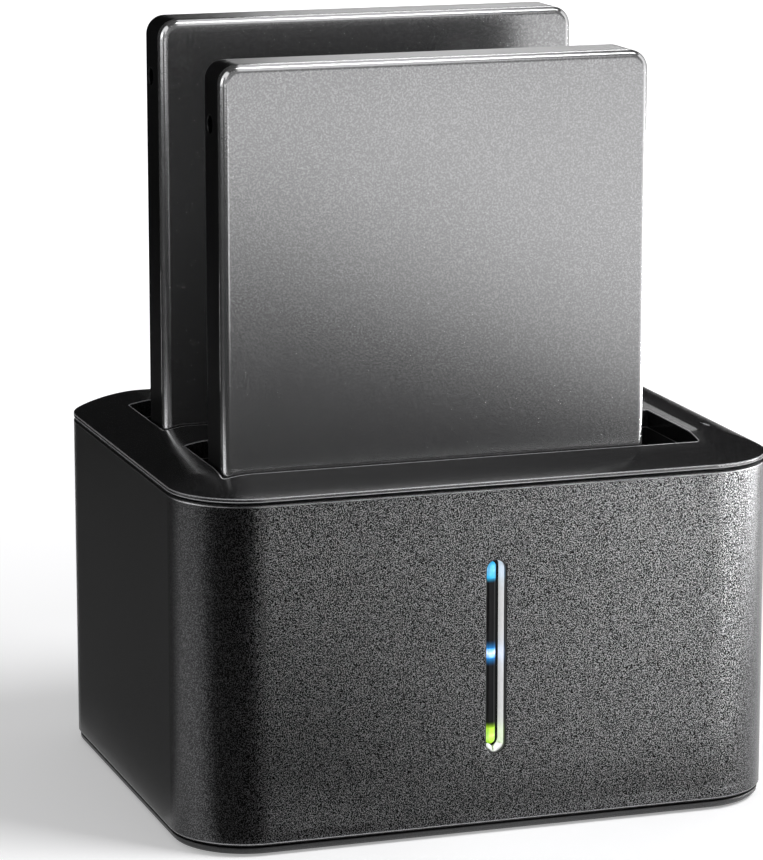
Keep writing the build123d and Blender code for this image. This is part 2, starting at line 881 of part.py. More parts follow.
def clock_crystal():
    """Crystal to the right of the front interface chip."""
    x = chip_column() + bridge_side / 2 + board_part_gap + crystal_width / 2
    y = front_bay_y + bay_depth / 2
    return centred_block(crystal_width, crystal_length, x, y, board_top, board_top + crystal_height)


def power_inductors():
    """Two moulded inductors between the bays."""
    inductors = []
    for side in (-1, 1):
        x = plug_x + side * inductor_pitch / 2
        inductors.append(rounded_block(inductor_side, inductor_side, inductor_round, x, between_bays,
                                       board_top, board_top + inductor_height))
    return inductors


def board_capacitors():
    """Three round capacitors between the ports and switches."""
    xs = ((jack_x + usb_x) / 2, (usb_x + clone_x) / 2, (clone_x + power_x) / 2)
    y = inner_rear - capacitor_setback
    cans = []
    for x in xs:
        can = post(capacitor_radius, x, y, board_top, board_top + capacitor_height)
        cans.append(chamfer(can.faces().sort_by(Axis.Z)[-1].edges(), capacitor_edge))
    return cans


def board_resistors():
    """A row of small parts between the bays."""
    start = plug_x + socket_width / 2
    return [
        centred_block(resistor_width, resistor_length, start + i * resistor_pitch, between_bays,
                      board_top, board_top + resistor_height)
        for i in range(resistor_count)
    ]


# Ports

def dc_jack():
    """Power jack: a block on the board with a round nose through the rear wall."""
    back = button_seat - jack_depth
    body = centred_block(jack_width, jack_depth, jack_x, (back + button_seat) / 2, board_top, board_top + jack_height)
    nose = rod_y(jack_nose_radius, jack_x, jack_z, back + jack_depth / 2, rear_face)
    jack = body + nose
    return jack - rod_y(jack_bore, jack_x, jack_z, rear_face - jack_bore_depth, rear_face + overrun)


def dc_jack_pin():
    """Centre pin of the power jack, with a bevelled tip."""
    tip = rear_face - jack_pin_setback
    pin = rod_y(jack_pin_radius, jack_x, jack_z, rear_face - jack_bore_depth, tip)
    return chamfer(pin.faces().sort_by(Axis.Y)[-1].edges(), jack_pin_radius / 3)


def usb_shell():
    """Metal shell of the data port, open to the rear."""
    mouth = rear_face - usb_recess
    back = mouth - usb_depth
    return usb_prism(usb_shell_wall, back, mouth) - usb_prism(0, back - overrun, mouth + overrun)


def usb_core():
    """Insulator inside the data port, with its two tongues."""
    back = rear_face - usb_recess - usb_depth
    root = back + usb_back_length
    tip = root + usb_tongue_length
    middle = usb_bottom + usb_height / 2
    half = usb_tongue_height / 2
    low = centred_block(usb_tongue_width, tip - back, usb_x, (tip + back) / 2, middle - half, middle + half)
    high_z = usb_bottom + usb_height + usb_top_height / 2
    half_top = usb_top_tongue_height / 2
    high = centred_block(usb_top_tongue_width, tip - back, usb_x, (tip + back) / 2,
                         high_z - half_top, high_z + half_top)
    return join([usb_prism(-snug_gap / 2, back, root), low, high])


# Buttons and switches

def rear_button(x, radius):
    """Round button with a flange that keeps it behind the rear wall."""
    cap = rod_y(radius, x, button_z, button_back, rear_face - button_recess)
    cap = chamfer(cap.faces().sort_by(Axis.Y)[-1].edges(), button_edge)
    return cap + rod_y(radius + button_flange, x, button_z, button_back, button_seat)


def switch_plunger(x):
    """Plunger between the button and its switch."""
    return rod_y(plunger_radius, x, button_z, button_back - plunger_length, button_back)


def push_switch(x, width):
    """Switch on the board, with a bore for its plunger."""
    back = switch_face - switch_depth
    body = block(x - width / 2, x + width / 2, back, switch_face, board_top, button_z + width / 2)
    return body - rod_y(plunger_radius + fit_gap, x, button_z, switch_face - plunger_length, switch_face + overrun)


# Light slot

def light_bezel():
    """Polished liner of the light slot, with a flange behind the front wall."""
    liner = light_prism(bezel_wall, front_face + bezel_recess, light_floor)
    flange = light_prism(bezel_wall + bezel_flange, inner_front, light_floor)
    return join([liner, flange]) - light_prism(0, front_face - overrun, light_floor + overrun)


def light_mask():
    """Black carrier behind the bezel, with a slot for the light strip."""
    mask = light_prism(bezel_wall + mask_border, light_floor, mask_back)
    return mask - strip_prism(0, light_floor - overrun, mask_back + overrun)


def lens_cutters():
    """Stretches of the strip that each lens takes: bottom end, middle and top end."""
    wide = 2 * strip_width
    y0 = light_floor - strip_proud - overrun
    y1 = mask_back + overrun
    half = lens_middle_height / 2
    spans = {
        "lower": (strip_bottom - overrun, strip_bottom + lens_end_height),
        "middle": (light_mid - half, light_mid + half),
        "upper": (strip_top - lens_end_height, strip_top + overrun),
    }
    return {name: block(-wide / 2, wide / 2, y0, y1, z0, z1) for name, (z0, z1) in spans.items()}


def whole_strip():
    """The whole light strip, before it is split into the guide and its lenses."""
    strip = strip_prism(0, light_floor - strip_proud, mask_back)
    return chamfer(strip.faces().sort_by(Axis.Y)[0].edges(), strip_proud / 3)


def light_guide():
    """The dark stretches of the strip, between the lenses."""
    guide = whole_strip()
    for cutter in lens_cutters().values():
        guide -= cutter
    return guide.solids()


def light_lens(name):
    """One lens: the stretch of the strip over its light."""
    return whole_strip() & lens_cutters()[name]


def status_leds():
    """One light behind each lens."""
    half = led_length / 2
    return [block(-led_width / 2, led_width / 2, mask_back, led_board_front, z - half, z + half) for z in led_levels]


def header_pin_blocks(grow, y0, y1):
    """The header's pins, grown all round."""
    side = header_pin_side + 2 * grow
    z = board_top + header_height / 2
    pins = []
    for i in range(header_pins):
        x = (i - (header_pins - 1) / 2) * header_pitch
        pins.append(block(x - side / 2, x + side / 2, y0, y1, z - side / 2, z + side / 2))
    return pins


def led_board():
    """Upright board behind the front wall, on the shell's two stakes."""
    half = led_board_width / 2
    board = block(-half, half, led_board_front, led_board_back, led_board_bottom, led_board_top)
    for z in stake_levels:
        board -= rod_y(stake_radius + snug_gap / 2, 0, z, led_board_front - overrun, led_board_back + overrun)
    for pin in header_pin_blocks(snug_gap / 2, led_board_front - overrun, led_board_back + overrun):
        board -= pin
    return board


def led_header_pins():
    """Pins from the header through the light board."""
    return header_pin_blocks(0, led_board_front - header_pin_proud, board_front + header_depth / 2)


def led_header():
    """Header on the front edge of the main board."""
    y = board_front + header_depth / 2
    header = centred_block(header_width, header_depth, 0, y, board_top, board_top + header_height)
    for pin in header_pin_blocks(0, board_front - overrun, y):
        header -= pin
    return header


def save_dock():
    """Write the nodes of the dock itself."""
    save("body_shell", body_shell())
    save("top_cover", top_cover())
    save("bay_guide", bay_guide())
    save("guide_screws", guide_screws())
    save("base_plate", base_plate())
    save("base_screws", base_screws())
    save("rubber_feet", rubber_feet())
    save("main_board", main_board())
    save("board_screws", board_screws())
    save("bridge_chips", bridge_chips())
    save("flash_chip", flash_chip())
    save("clock_crystal", clock_crystal())
    save("power_inductors", power_inductors())
    save("board_capacitors", board_capacitors())
    save("board_resistors", board_resistors())
    save("dc_jack", dc_jack())
    save("dc_jack_pin", dc_jack_pin())
    save("usb_shell", usb_shell())
    save("usb_core", usb_core())
    for name, (y, height, z_drive) in bays.items():
        save(name + "_drive_socket", drive_socket(y, height))
        save(name + "_socket_contacts", socket_contacts(y, height))


def save_lights():
    """Write the nodes behind and in the light slot."""
    save("light_bezel", light_bezel())
    save("light_mask", light_mask())
    save("light_guide", light_guide())
    for name in ("lower", "middle", "upper"):
        save("light_lens_" + name, light_lens(name))
    save("status_leds", status_leds())
    save("led_board", led_board())
    save("led_header", led_header())
    save("led_header_pins", led_header_pins())


def save_buttons():
    """Write each rear button with its plunger and switch."""
    for name, (x, radius, width) in buttons.items():
        save(name + "_button", rear_button(x, radius))
        save(name + "_plunger", switch_plunger(x))
        save(name + "_switch", push_switch(x, width))


def save_drives():
    """Write the pieces of both drives."""
    for name, (y, height, z_drive) in bays.items():
        save(name + "_drive_case", drive_case(y, z_drive))
        save(name + "_drive_lid", drive_lid(y, z_drive))
        save(name + "_drive_screws", drive_screws(y, z_drive))
        save(name + "_drive_plug", drive_plug(y, z_drive))
        save(name + "_drive_contacts", drive_contacts(y, z_drive))
        save(name + "_drive_board", drive_board(y, z_drive))
        save(name + "_drive_chips", drive_chips(y, z_drive))


save_dock()
save_lights()
save_buttons()
save_drives()
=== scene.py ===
import json
import math

import bmesh
import bpy
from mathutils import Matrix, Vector


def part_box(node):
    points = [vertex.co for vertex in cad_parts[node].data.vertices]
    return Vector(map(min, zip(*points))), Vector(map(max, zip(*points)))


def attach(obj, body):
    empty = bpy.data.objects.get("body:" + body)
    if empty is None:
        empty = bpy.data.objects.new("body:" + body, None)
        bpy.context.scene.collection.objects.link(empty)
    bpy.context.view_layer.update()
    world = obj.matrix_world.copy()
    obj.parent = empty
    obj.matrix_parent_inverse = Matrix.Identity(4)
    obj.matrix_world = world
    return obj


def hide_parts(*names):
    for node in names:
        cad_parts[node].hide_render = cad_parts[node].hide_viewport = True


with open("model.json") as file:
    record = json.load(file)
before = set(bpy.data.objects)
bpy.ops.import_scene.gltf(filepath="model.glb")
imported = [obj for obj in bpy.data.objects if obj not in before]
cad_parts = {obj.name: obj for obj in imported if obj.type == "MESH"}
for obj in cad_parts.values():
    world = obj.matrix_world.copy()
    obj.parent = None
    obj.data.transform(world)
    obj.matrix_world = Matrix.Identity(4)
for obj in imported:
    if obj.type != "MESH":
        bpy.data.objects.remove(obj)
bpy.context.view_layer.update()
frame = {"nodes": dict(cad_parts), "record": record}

bl_info = {
    "name": "Drive dock",
    "version": (1, 0, 0),
    "blender": (4, 5, 0),
    "location": "View3D > Sidebar > Drive dock",
    "description": "Dresses the docking station and its two drives for a studio picture",
    "category": "Object",
}

MM = 0.001

# How finely curves are cut, when an edge between two faces is sharp, and when two points are one
CORNER_STEPS = 12
EDGE_STEPS = 8
TURNED_SIDES = 48
SHARP_ANGLE = math.radians(35)
MERGE = 1e-7

# Cross-head screws, each size in mm
SCREW_SIZES = (
    "Under Radius", "Top Radius", "Head Height", "Shank Radius", "Cross Length", "Cross Width", "Cross Depth")
SCREWS = {
    "base": (2.7, 2.2, 1.3, 1.17, 2.9, 0.62, 0.8),
    "guide": (2.2, 1.76, 1.2, 0.98, 2.42, 0.45, 0.55),
    "board": (2.3, 1.84, 1.5, 0.81, 2.5, 0.5, 0.7),
    "drive": (1.7, 1.36, 0.9, 0.72, 1.9, 0.42, 0.45),
}

# Chip leads: how many on a side, then each size in mm
LEAD_SIZES = ("Pitch", "Height", "Width", "Reach")
LEADS = {"bridge": (14, 0.62, 0.55, 0.26, 0.9), "flash": (4, 1.27, 0.6, 0.4, 0.9)}

# A thread's pitch and ridge as shares of the shank's radius, and where it starts and how far it runs as shares of the
# shank's length
THREAD_PITCH = 0.55
THREAD_RIDGE = 0.1
THREAD_START = 0.98
THREAD_RUN = 0.9

# A lead's thickness as a share of its width, and the middles of its shoulder and foot as shares of its reach
LEAD_THICKNESS = 0.5
LEAD_SHOULDER = 0.22
LEAD_FOOT = 0.8

# Turned profiles as radius and height in mm: up from the underside, then radius and depth below the top
FOOT = (
    ((0.0, 0.16), (1.2, 0.16), (1.4, 0.0), (2.4, 0.0), (2.6, 0.16), (3.4, 0.16), (3.6, 0.0), (4.9, 0.0), (5.3, 0.12),
     (5.5, 0.4)),
    ((5.5, 0.0), (0.0, 0.0)),
)
CAN = (
    ((0.0, 0.0), (2.7, 0.0), (2.9, 0.12), (2.95, 0.7), (2.7, 1.0), (2.7, 1.25), (3.0, 1.55), (3.15, 1.8)),
    ((3.15, 0.6), (3.0, 0.22), (2.65, 0.0), (2.3, 0.12), (2.1, 0.2), (0.0, 0.2)),
)

# Facets in the lower end of the light slot: the angles that they span, their section as inset and depth in mm,
# and how far the mask behind them reaches past the slot's liner
FACET_ANGLES = ((202, 261), (279, 338))
FACET_SECTION = ((0.0, 0.6), (0.72, 1.2), (0.0, 1.8))
MASK_LAP = 1.6 * MM

# Depth behind the front of the slot's liner over which its dark rim fades out
RIM_DEPTH = (0.45 * MM, 0.65 * MM)

# How squarely a surface faces the front at both ends of a change: fading flecks, a polished lid edge, the dark rim
FLECK_FADE = (0.97, 0.6)
LID_POLISH = (0.995, 0.93)
RIM_FACING = (0.7, 0.9)

# Most of a noise's values, and those over which grain turns from dark to bright
NOISE_RANGE = (0.3, 0.7)
FLECK_RANGE = (0.48, 0.62)

# Pattern values over which a board's tracks and pads begin, and how dark a lens's cells get towards their edges
TRACK_EDGE = (0.62, 0.7)
PAD_EDGE = (0.2, 0.16)
CELL_SHADE = (0.1, 0.6, 0.0, 0.55)

# Colours of bare pads, of the liner's dark rim, and of the strip between its lights
PAD_GOLD = (0.55, 0.42, 0.18)
RIM_BLACK = (0.006, 0.006, 0.006)
STRIP_BLACKS = ((0.002, 0.002, 0.0025), (0.005, 0.005, 0.0055))

# Two distances from the dock's middle, and how much the floor glows there for the camera
FLOOR_GLOW = (0.12, 0.5, 0.33, 0.9)

# The three lights: colour, spread of the white core in mm, strength, whiteness, and reach into the strip in mm
LIGHTS = {
    "upper": ("cyan", 1.1, 0.9, 0.3, 0.8),
    "middle": ("blue", 0.8, 1.5, 1.0, 1.4),
    "lower": ("green", 1.2, 0.9, 0.3, 1.0),
}

# Height of the shell's lower and upper rims, the only places where its edges are lightened into painted highlight lines
SHELL_RIMS = (8 * MM, 4 * MM)

# Plain mouldings: colour, roughness, grain, its depth in mm, and what else is special
MOULDED = {
    "base_grey": ((0.035, 0.035, 0.036), 0.4, 4500.0, 0.02, {}),
    "guide_black": ((0.006, 0.006, 0.0065), 0.6, 3000.0, 0.03, {"gloss": 0.3}),
    "rubber_black": ((0.012, 0.012, 0.012), 0.75, 2600.0, 0.04, {"gloss": 0.3}),
    "chip_black": ((0.012, 0.012, 0.013), 0.5, 5000.0, 0.01, {}),
    "inductor_grey": ((0.05, 0.05, 0.052), 0.55, 6000.0, 0.03, {"contrast": 0.5}),
    "resistor_dark": ((0.02, 0.02, 0.022), 0.25, 5000.0, 0.006, {}),
    "connector_black": ((0.01, 0.01, 0.011), 0.42, 3800.0, 0.01, {}),
    "port_white": ((0.6, 0.6, 0.58), 0.4, 3500.0, 0.01, {"contrast": 0.06}),
    "jack_black": ((0.012, 0.012, 0.013), 0.4, 3800.0, 0.01, {}),
    "mask_black": ((0.003, 0.003, 0.003), 0.6, 4000.0, 0.01, {"gloss": 0.2}),
    "led_white": ((0.7, 0.7, 0.62), 0.3, 3000.0, 0.005, {"contrast": 0.05}),
    "button_grey": ((0.03, 0.03, 0.031), 0.36, 4500.0, 0.01, {}),
    "switch_black": ((0.011, 0.011, 0.012), 0.45, 3800.0, 0.01, {}),
    "plunger_red": ((0.35, 0.02, 0.015), 0.4, 3500.0, 0.01, {"contrast": 0.1}),
}


# Settings

class DockStage(bpy.types.PropertyGroup):
    """Camera, lamps and floor."""
    lens: bpy.props.FloatProperty(
        name="Lens", description="Focal length on a 36 mm sensor, in mm", default=167.4)
    camera: bpy.props.FloatVectorProperty(
        name="Camera", description="Camera's place", default=(-0.2108, -0.6128, 0.1956), subtype="TRANSLATION")
    yaw: bpy.props.FloatProperty(
        name="Yaw", description="Turn to the right", default=math.radians(18.54), subtype="ANGLE")
    pitch: bpy.props.FloatProperty(
        name="Pitch", description="Tilt downwards", default=math.radians(12.04), subtype="ANGLE")
    floor_size: bpy.props.FloatProperty(
        name="Floor", description="Side of the floor", default=12.0, unit="LENGTH")
    floor_colour: bpy.props.FloatVectorProperty(
        name="Floor colour", description="Pale floor", default=(0.82, 0.82, 0.83), subtype="COLOR")
    fill: bpy.props.FloatProperty(
        name="Fill", description="Strength of the light from all round", default=0.35)
    key_power: bpy.props.FloatProperty(
        name="Key lamp", description="Power of the lamp above on the right, in watts", default=5.5)
    slot_power: bpy.props.FloatProperty(
        name="Slot lamp", description="Power of the spot on the light slot, in watts", default=16.0)


class DockColours(bpy.types.PropertyGroup):
    """Colours of the main finishes."""
    shell: bpy.props.FloatVectorProperty(
        name="Shell", description="Grained sleeve", default=(0.045, 0.045, 0.046), subtype="COLOR")
    cover: bpy.props.FloatVectorProperty(
        name="Cover", description="Smooth crowned cover", default=(0.016, 0.016, 0.0165), subtype="COLOR")
    case: bpy.props.FloatVectorProperty(
        name="Case", description="Cast side of a drive", default=(0.05, 0.05, 0.052), subtype="COLOR")
    lid: bpy.props.FloatVectorProperty(
        name="Lid", description="Face of a drive", default=(0.40, 0.40, 0.405), subtype="COLOR")
    board: bpy.props.FloatVectorProperty(
        name="Board", description="Solder mask", default=(0.012, 0.075, 0.035), subtype="COLOR")
    blue: bpy.props.FloatVectorProperty(
        name="Blue light", description="Middle light", default=(0.02, 0.27, 0.72), subtype="COLOR")
    cyan: bpy.props.FloatVectorProperty(
        name="Cyan light", description="Upper light", default=(0.03, 0.47, 0.85), subtype="COLOR")
    green: bpy.props.FloatVectorProperty(
        name="Green light", description="Lower light", default=(0.45, 0.82, 0.03), subtype="COLOR")


class DockPieces(bpy.types.PropertyGroup):
    """Sizes of the pieces made here."""
    lid_round: bpy.props.FloatProperty(
        name="Lid edge", description="Radius of a drive lid's front edge", default=1.15 * MM, unit="LENGTH")
    lid_corner: bpy.props.FloatProperty(
        name="Lid corner", description="Radius of a drive's corners", default=3.0 * MM, unit="LENGTH")


def middle(node):
    """Middle of a node's box."""
    low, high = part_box(node)
    return [(near + far) / 2 for near, far in zip(low, high)]


# Node helpers

SOCKETS = {float: "NodeSocketFloat", int: "NodeSocketInt", bool: "NodeSocketBool", tuple: "NodeSocketVector"}


class Wiring:
    """Short ways to add and join nodes in one tree."""

    def __init__(self, tree):
        self.tree = tree

    def node(self, kind, values=None, **settings):
        """Add a node, set its options and then its inputs, which may be values or other sockets."""
        new = self.tree.nodes.new(kind)
        for name, value in settings.items():
            setattr(new, name, value)
        self.feed(new, values or {})
        return new

    def feed(self, node, values):
        """Set a node's inputs, by name or number, to values or to other sockets."""
        for name, value in values.items():
            if isinstance(value, bpy.types.NodeSocket):
                self.link(value, node.inputs[name])
            else:
                node.inputs[name].default_value = value

    def out(self, kind, values=None, **settings):
        """Add a node and give its first output."""
        return self.node(kind, values, **settings).outputs[0]

    def link(self, source, target):
        """Join two sockets."""
        self.tree.links.new(source, target)

    def math(self, operation, first, second=0.0, clamp=False):
        """One Math node's result."""
        values = {0: first, 1: second}
        return self.out("ShaderNodeMath", values, operation=operation, use_clamp=clamp)

    def times(self, first, second, clamp=False):
        """Product of two numbers."""
        return self.math("MULTIPLY", first, second, clamp)

    def remap(self, value, low, high, to_low=0.0, to_high=1.0):
        """A value stretched from one range to another, and clamped."""
        values = {0: value, 1: low, 2: high, 3: to_low, 4: to_high}
        return self.out("ShaderNodeMapRange", values, clamp=True)

    def mix(self, factor, first, second):
        """Mix of two colours."""
        return self.node("ShaderNodeMix", {0: factor, 6: first, 7: second}, data_type="RGBA").outputs[2]

    def vector(self, operation, first, second=(0.0, 0.0, 0.0)):
        """One Vector Math node's result, which is a number for a dot product or a length."""
        new = self.node("ShaderNodeVectorMath", {0: first, 1: second}, operation=operation)
        return new.outputs["Value" if operation in ("DOT_PRODUCT", "LENGTH") else "Vector"]

    def noise(self, place, scale, detail=2.0, roughness=0.5):
        """Noise at a place, from 0 to 1."""
        values = {"Vector": place, "Scale": scale, "Detail": detail, "Roughness": roughness}
        return self.out("ShaderNodeTexNoise", values)

    def surface(self, kind="Object"):
        """The surface's place (Object) or its direction (Normal)."""
        return self.node("ShaderNodeTexCoord").outputs[kind]

    def axis(self, kind, letter):
        """One axis of the surface's place or direction."""
        return self.node("ShaderNodeSeparateXYZ", {0: self.surface(kind)}).outputs[letter]

    def xyz(self, x, y=0.0, z=0.0):
        """A vector from three numbers."""
        return self.out("ShaderNodeCombineXYZ", {0: x, 1: y, 2: z})


def rgba(colour, factor=1.0):
    """Colour with its alpha, made lighter or darker by a factor."""
    return (*[min(1.0, channel * factor) for channel in colour], 1.0)


def new_tree(name, kind, inputs, outputs):
    """Empty node tree with its sockets, whose kind is given or follows from a default value."""
    tree = bpy.data.node_groups.new(name, kind)
    for side, sockets in (("INPUT", inputs), ("OUTPUT", outputs)):
        for label, value in sockets.items():
            if isinstance(value, str):
                tree.interface.new_socket(label, in_out=side, socket_type=value)
            else:
                socket = tree.interface.new_socket(label, in_out=side, socket_type=SOCKETS[type(value)])
                socket.default_value = value
    w = Wiring(tree)
    return w, w.node("NodeGroupInput").outputs, w.node("NodeGroupOutput")


def grain_group():
    """Moulded grain: fine pits, larger soft clouds and a sharp fleck that fades on the sides."""
    inputs = {"Scale": 3500.0, "Cloud Scale": 60.0, "Side Fade": 0.0}
    outputs = {"Grain": 0.0, "Cloud": 0.0, "Fleck": 0.0}
    w, start, end = new_tree("Moulded grain", "ShaderNodeTree", inputs, outputs)
    place = w.surface()
    fine = w.noise(place, start["Scale"], detail=1.0, roughness=0.4)
    cloud = w.noise(place, start["Cloud Scale"], detail=1.0)
    sharp = w.remap(fine, *FLECK_RANGE)
    turned = w.remap(w.math("ABSOLUTE", w.axis("Normal", "Y")), *FLECK_FADE)
    keep = w.math("SUBTRACT", 1.0, w.times(start["Side Fade"], turned))
    centred = w.times(w.math("SUBTRACT", sharp, 0.5), keep)
    w.feed(end, {"Grain": fine, "Cloud": cloud, "Fleck": w.math("ADD", centred, 0.5)})
    return w.tree


def edge_group():
    """Rounded edges: a soft normal over sharp corners and a mask of where they are."""
    inputs = {"Radius": 0.3 * MM, "Gain": 3.0}
    outputs = {"Edge": 0.0, "Normal": (0.0, 0.0, 0.0)}
    w, start, end = new_tree("Rounded edge", "ShaderNodeTree", inputs, outputs)
    bevel = w.out("ShaderNodeBevel", {"Radius": start["Radius"]}, samples=6)
    flat = w.node("ShaderNodeNewGeometry").outputs["Normal"]
    gap = w.math("SUBTRACT", 1.0, w.vector("DOT_PRODUCT", bevel, flat))
    w.feed(end, {"Edge": w.times(gap, start["Gain"], clamp=True), "Normal": bevel})
    return w.tree


def brush_group():
    """Brushed metal: long fine lines along one axis of the object."""
    inputs = {"Along": (40.0, 2500.0, 2500.0)}
    w, start, end = new_tree("Brushed lines", "ShaderNodeTree", inputs, {"Line": 0.0, "Smear": 0.0})
    place = w.surface()
    stretched = w.vector("MULTIPLY", place, start["Along"])
    w.feed(end, {"Line": w.noise(stretched, 1.0, detail=4.0), "Smear": w.noise(place, 45.0)})
    return w.tree


def track_group():
    """Circuit board: tracks under the mask, pads and a fine weave."""
    outputs = {"Track": 0.0, "Pad": 0.0, "Weave": 0.0}
    w, start, end = new_tree("Board tracks", "ShaderNodeTree", {"Pitch": 420.0}, outputs)
    place = w.surface()
    wander = w.node("ShaderNodeTexNoise", {"Vector": place, "Scale": 90.0, "Detail": 0.0}).outputs["Color"]
    bent = w.vector("ADD", place, w.vector("MULTIPLY", wander, (0.004, 0.004, 0.004)))
    size = start["Pitch"]
    cells = w.out("ShaderNodeTexVoronoi", {"Vector": bent, "Scale": size}, distance="MANHATTAN", feature="F1")
    band = w.node("ShaderNodeTexWave", {"Vector": bent, "Scale": size, "Distortion": 1.5}, bands_direction="DIAGONAL")
    w.feed(end, {
        "Track": w.remap(band.outputs["Fac"], *TRACK_EDGE), "Pad": w.remap(cells, *PAD_EDGE),
        "Weave": w.noise(place, 2500.0, detail=1.0),
    })
    return w.tree


# Materials

class Finishes:
    """Every finish of the dock, made once and found by its material slot."""

    def __init__(self, colours):
        self.colours = colours
        self.grain = grain_group()
        self.edge = edge_group()
        self.brush = brush_group()
        self.track = track_group()
        self.by_slot = {}

    def start(self, slot, pattern, **values):
        """New material with its wiring, its main shader and its pattern."""
        material = bpy.data.materials.new(slot)
        material.use_nodes = True
        w = Wiring(material.node_tree)
        shader = material.node_tree.nodes["Principled BSDF"]
        self.by_slot[slot] = material
        return w, shader, self.group(w, pattern, **values)

    def group(self, w, tree, **values):
        """Place a shared group with its own values."""
        values = {name.replace("_", " "): value for name, value in values.items()}
        return w.node("ShaderNodeGroup", values, node_tree=tree).outputs

    def bump(self, w, shader, height, depth, normal=None):
        """Relief of a given depth in metres, on top of a rounded edge's normal."""
        values = {"Distance": depth, "Height": height}
        if normal is not None:
            values["Normal"] = normal
        w.feed(shader, {"Normal": w.out("ShaderNodeBump", values)})

    def moulded(self, slot, colour, rough, grain=3500.0, depth=0.02 * MM, contrast=0.25, radius=0.3 * MM, gloss=0.5,
                cloud=0.06, metal=0.0, fade=0.0, edge=1.9, gain=3.0, wear_and_highlight=0.35, plain=None, fleck=1.0):
        """Moulded plastic with its grain and softened edges, lighter as slight wear at the defaults and, where strongly
        lightened, as a painted highlight line; none between two plain levels.
        """
        w, shader, grains = self.start(slot, self.grain, Scale=grain, Side_Fade=fade)
        edges = self.group(w, self.edge, Radius=radius, Gain=gain)
        shade = w.mix(grains["Fleck"], rgba(colour, 1.0 - contrast), rgba(colour, 1.0 + contrast * fleck))
        # Lighter edges: slight wear at the defaults, a painted highlight line where the edge factor is large
        wear_and_highlight = w.times(edges["Edge"], wear_and_highlight)
        if plain:
            height = w.axis("Object", "Z")
            outside = w.math("MAXIMUM", w.math("LESS_THAN", height, plain[0]), w.math("GREATER_THAN", height, plain[1]))
            wear_and_highlight = w.times(wear_and_highlight, outside)
        w.feed(shader, {
            "Base Color": w.mix(wear_and_highlight, shade, rgba(colour, edge)), "Specular IOR Level": gloss, "Metallic": metal,
            "Roughness": w.remap(grains["Cloud"], 0.0, 1.0, rough - cloud, rough + cloud),
        })
        self.bump(w, shader, grains["Grain"], depth, edges["Normal"])

    def metal(self, slot, colour, rough, grain=3600.0, depth=0.008 * MM, contrast=0.12, radius=0.3 * MM, cloud=0.03,
              metal=1.0, polish=1.0):
        """Satin or cast metal with fine grain, and more polish where it turns away from the front."""
        w, shader, grains = self.start(slot, self.grain, Scale=grain)
        edges = self.group(w, self.edge, Radius=radius)
        shade = w.mix(grains["Fleck"], rgba(colour, 1.0 - contrast), rgba(colour, 1.0 + contrast))
        shade = w.mix(w.times(edges["Edge"], 0.5), shade, rgba(colour, 1.6))
        turned = w.remap(w.math("ABSOLUTE", w.axis("Normal", "Y")), *LID_POLISH)
        satin = w.remap(grains["Cloud"], 0.0, 1.0, rough - cloud, rough + cloud)
        w.feed(shader, {
            "Base Color": w.mix(turned, shade, rgba(colour, polish)), "Metallic": metal,
            "Roughness": w.times(satin, w.remap(turned, 0.0, 1.0, 1.0, 1.0 / polish)),
        })
        self.bump(w, shader, grains["Grain"], depth, edges["Normal"])

    def brushed(self, slot, colour, rough, along=(40.0, 2500.0, 2500.0), radius=0.2 * MM):
        """Brushed or plated metal with fine lines."""
        w, shader, lines = self.start(slot, self.brush, Along=along)
        edges = self.group(w, self.edge, Radius=radius)
        shade = w.mix(lines["Line"], rgba(colour, 0.8), rgba(colour, 1.15))
        shade = w.mix(w.times(edges["Edge"], 0.5), shade, rgba(colour, 1.5))
        satin = w.remap(lines["Smear"], *NOISE_RANGE, rough - 0.05, rough + 0.06)
        w.feed(shader, {"Base Color": shade, "Roughness": satin, "Metallic": 1.0})
        self.bump(w, shader, lines["Line"], 0.004 * MM, edges["Normal"])

    def board(self, slot, colour):
        """Solder mask over copper tracks, with bare pads."""
        w, shader, tracks = self.start(slot, self.track)
        edges = self.group(w, self.edge, Radius=0.2 * MM)
        shade = w.mix(tracks["Weave"], rgba(colour, 0.8), rgba(colour, 1.2))
        shade = w.mix(w.times(tracks["Track"], 0.6), shade, rgba(colour, 2.2))
        w.feed(shader, {
            "Base Color": w.mix(tracks["Pad"], shade, rgba(PAD_GOLD)), "Metallic": tracks["Pad"],
            "Roughness": w.remap(tracks["Pad"], 0.0, 1.0, 0.32, 0.24),
        })
        self.bump(w, shader, tracks["Track"], 0.04 * MM, edges["Normal"])

    def bezel(self, slot, colour):
        """Silvered liner with a dark outer rim."""
        w, shader, grains = self.start(slot, self.grain, Scale=1500.0)
        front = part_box("light_bezel")[0].y
        facing = w.remap(w.times(w.axis("Normal", "Y"), -1.0), *RIM_FACING)
        shallow = w.remap(w.axis("Object", "Y"), front + RIM_DEPTH[1], front + RIM_DEPTH[0])
        rim = w.math("MAXIMUM", facing, shallow)
        silver = w.mix(grains["Grain"], rgba(colour, 0.9), rgba(colour, 1.1))
        w.feed(shader, {
            "Base Color": w.mix(rim, silver, rgba(RIM_BLACK)), "Metallic": 0.1,
            "Roughness": w.remap(grains["Cloud"], *NOISE_RANGE, 0.26, 0.34),
        })
        self.bump(w, shader, grains["Grain"], 0.002 * MM)

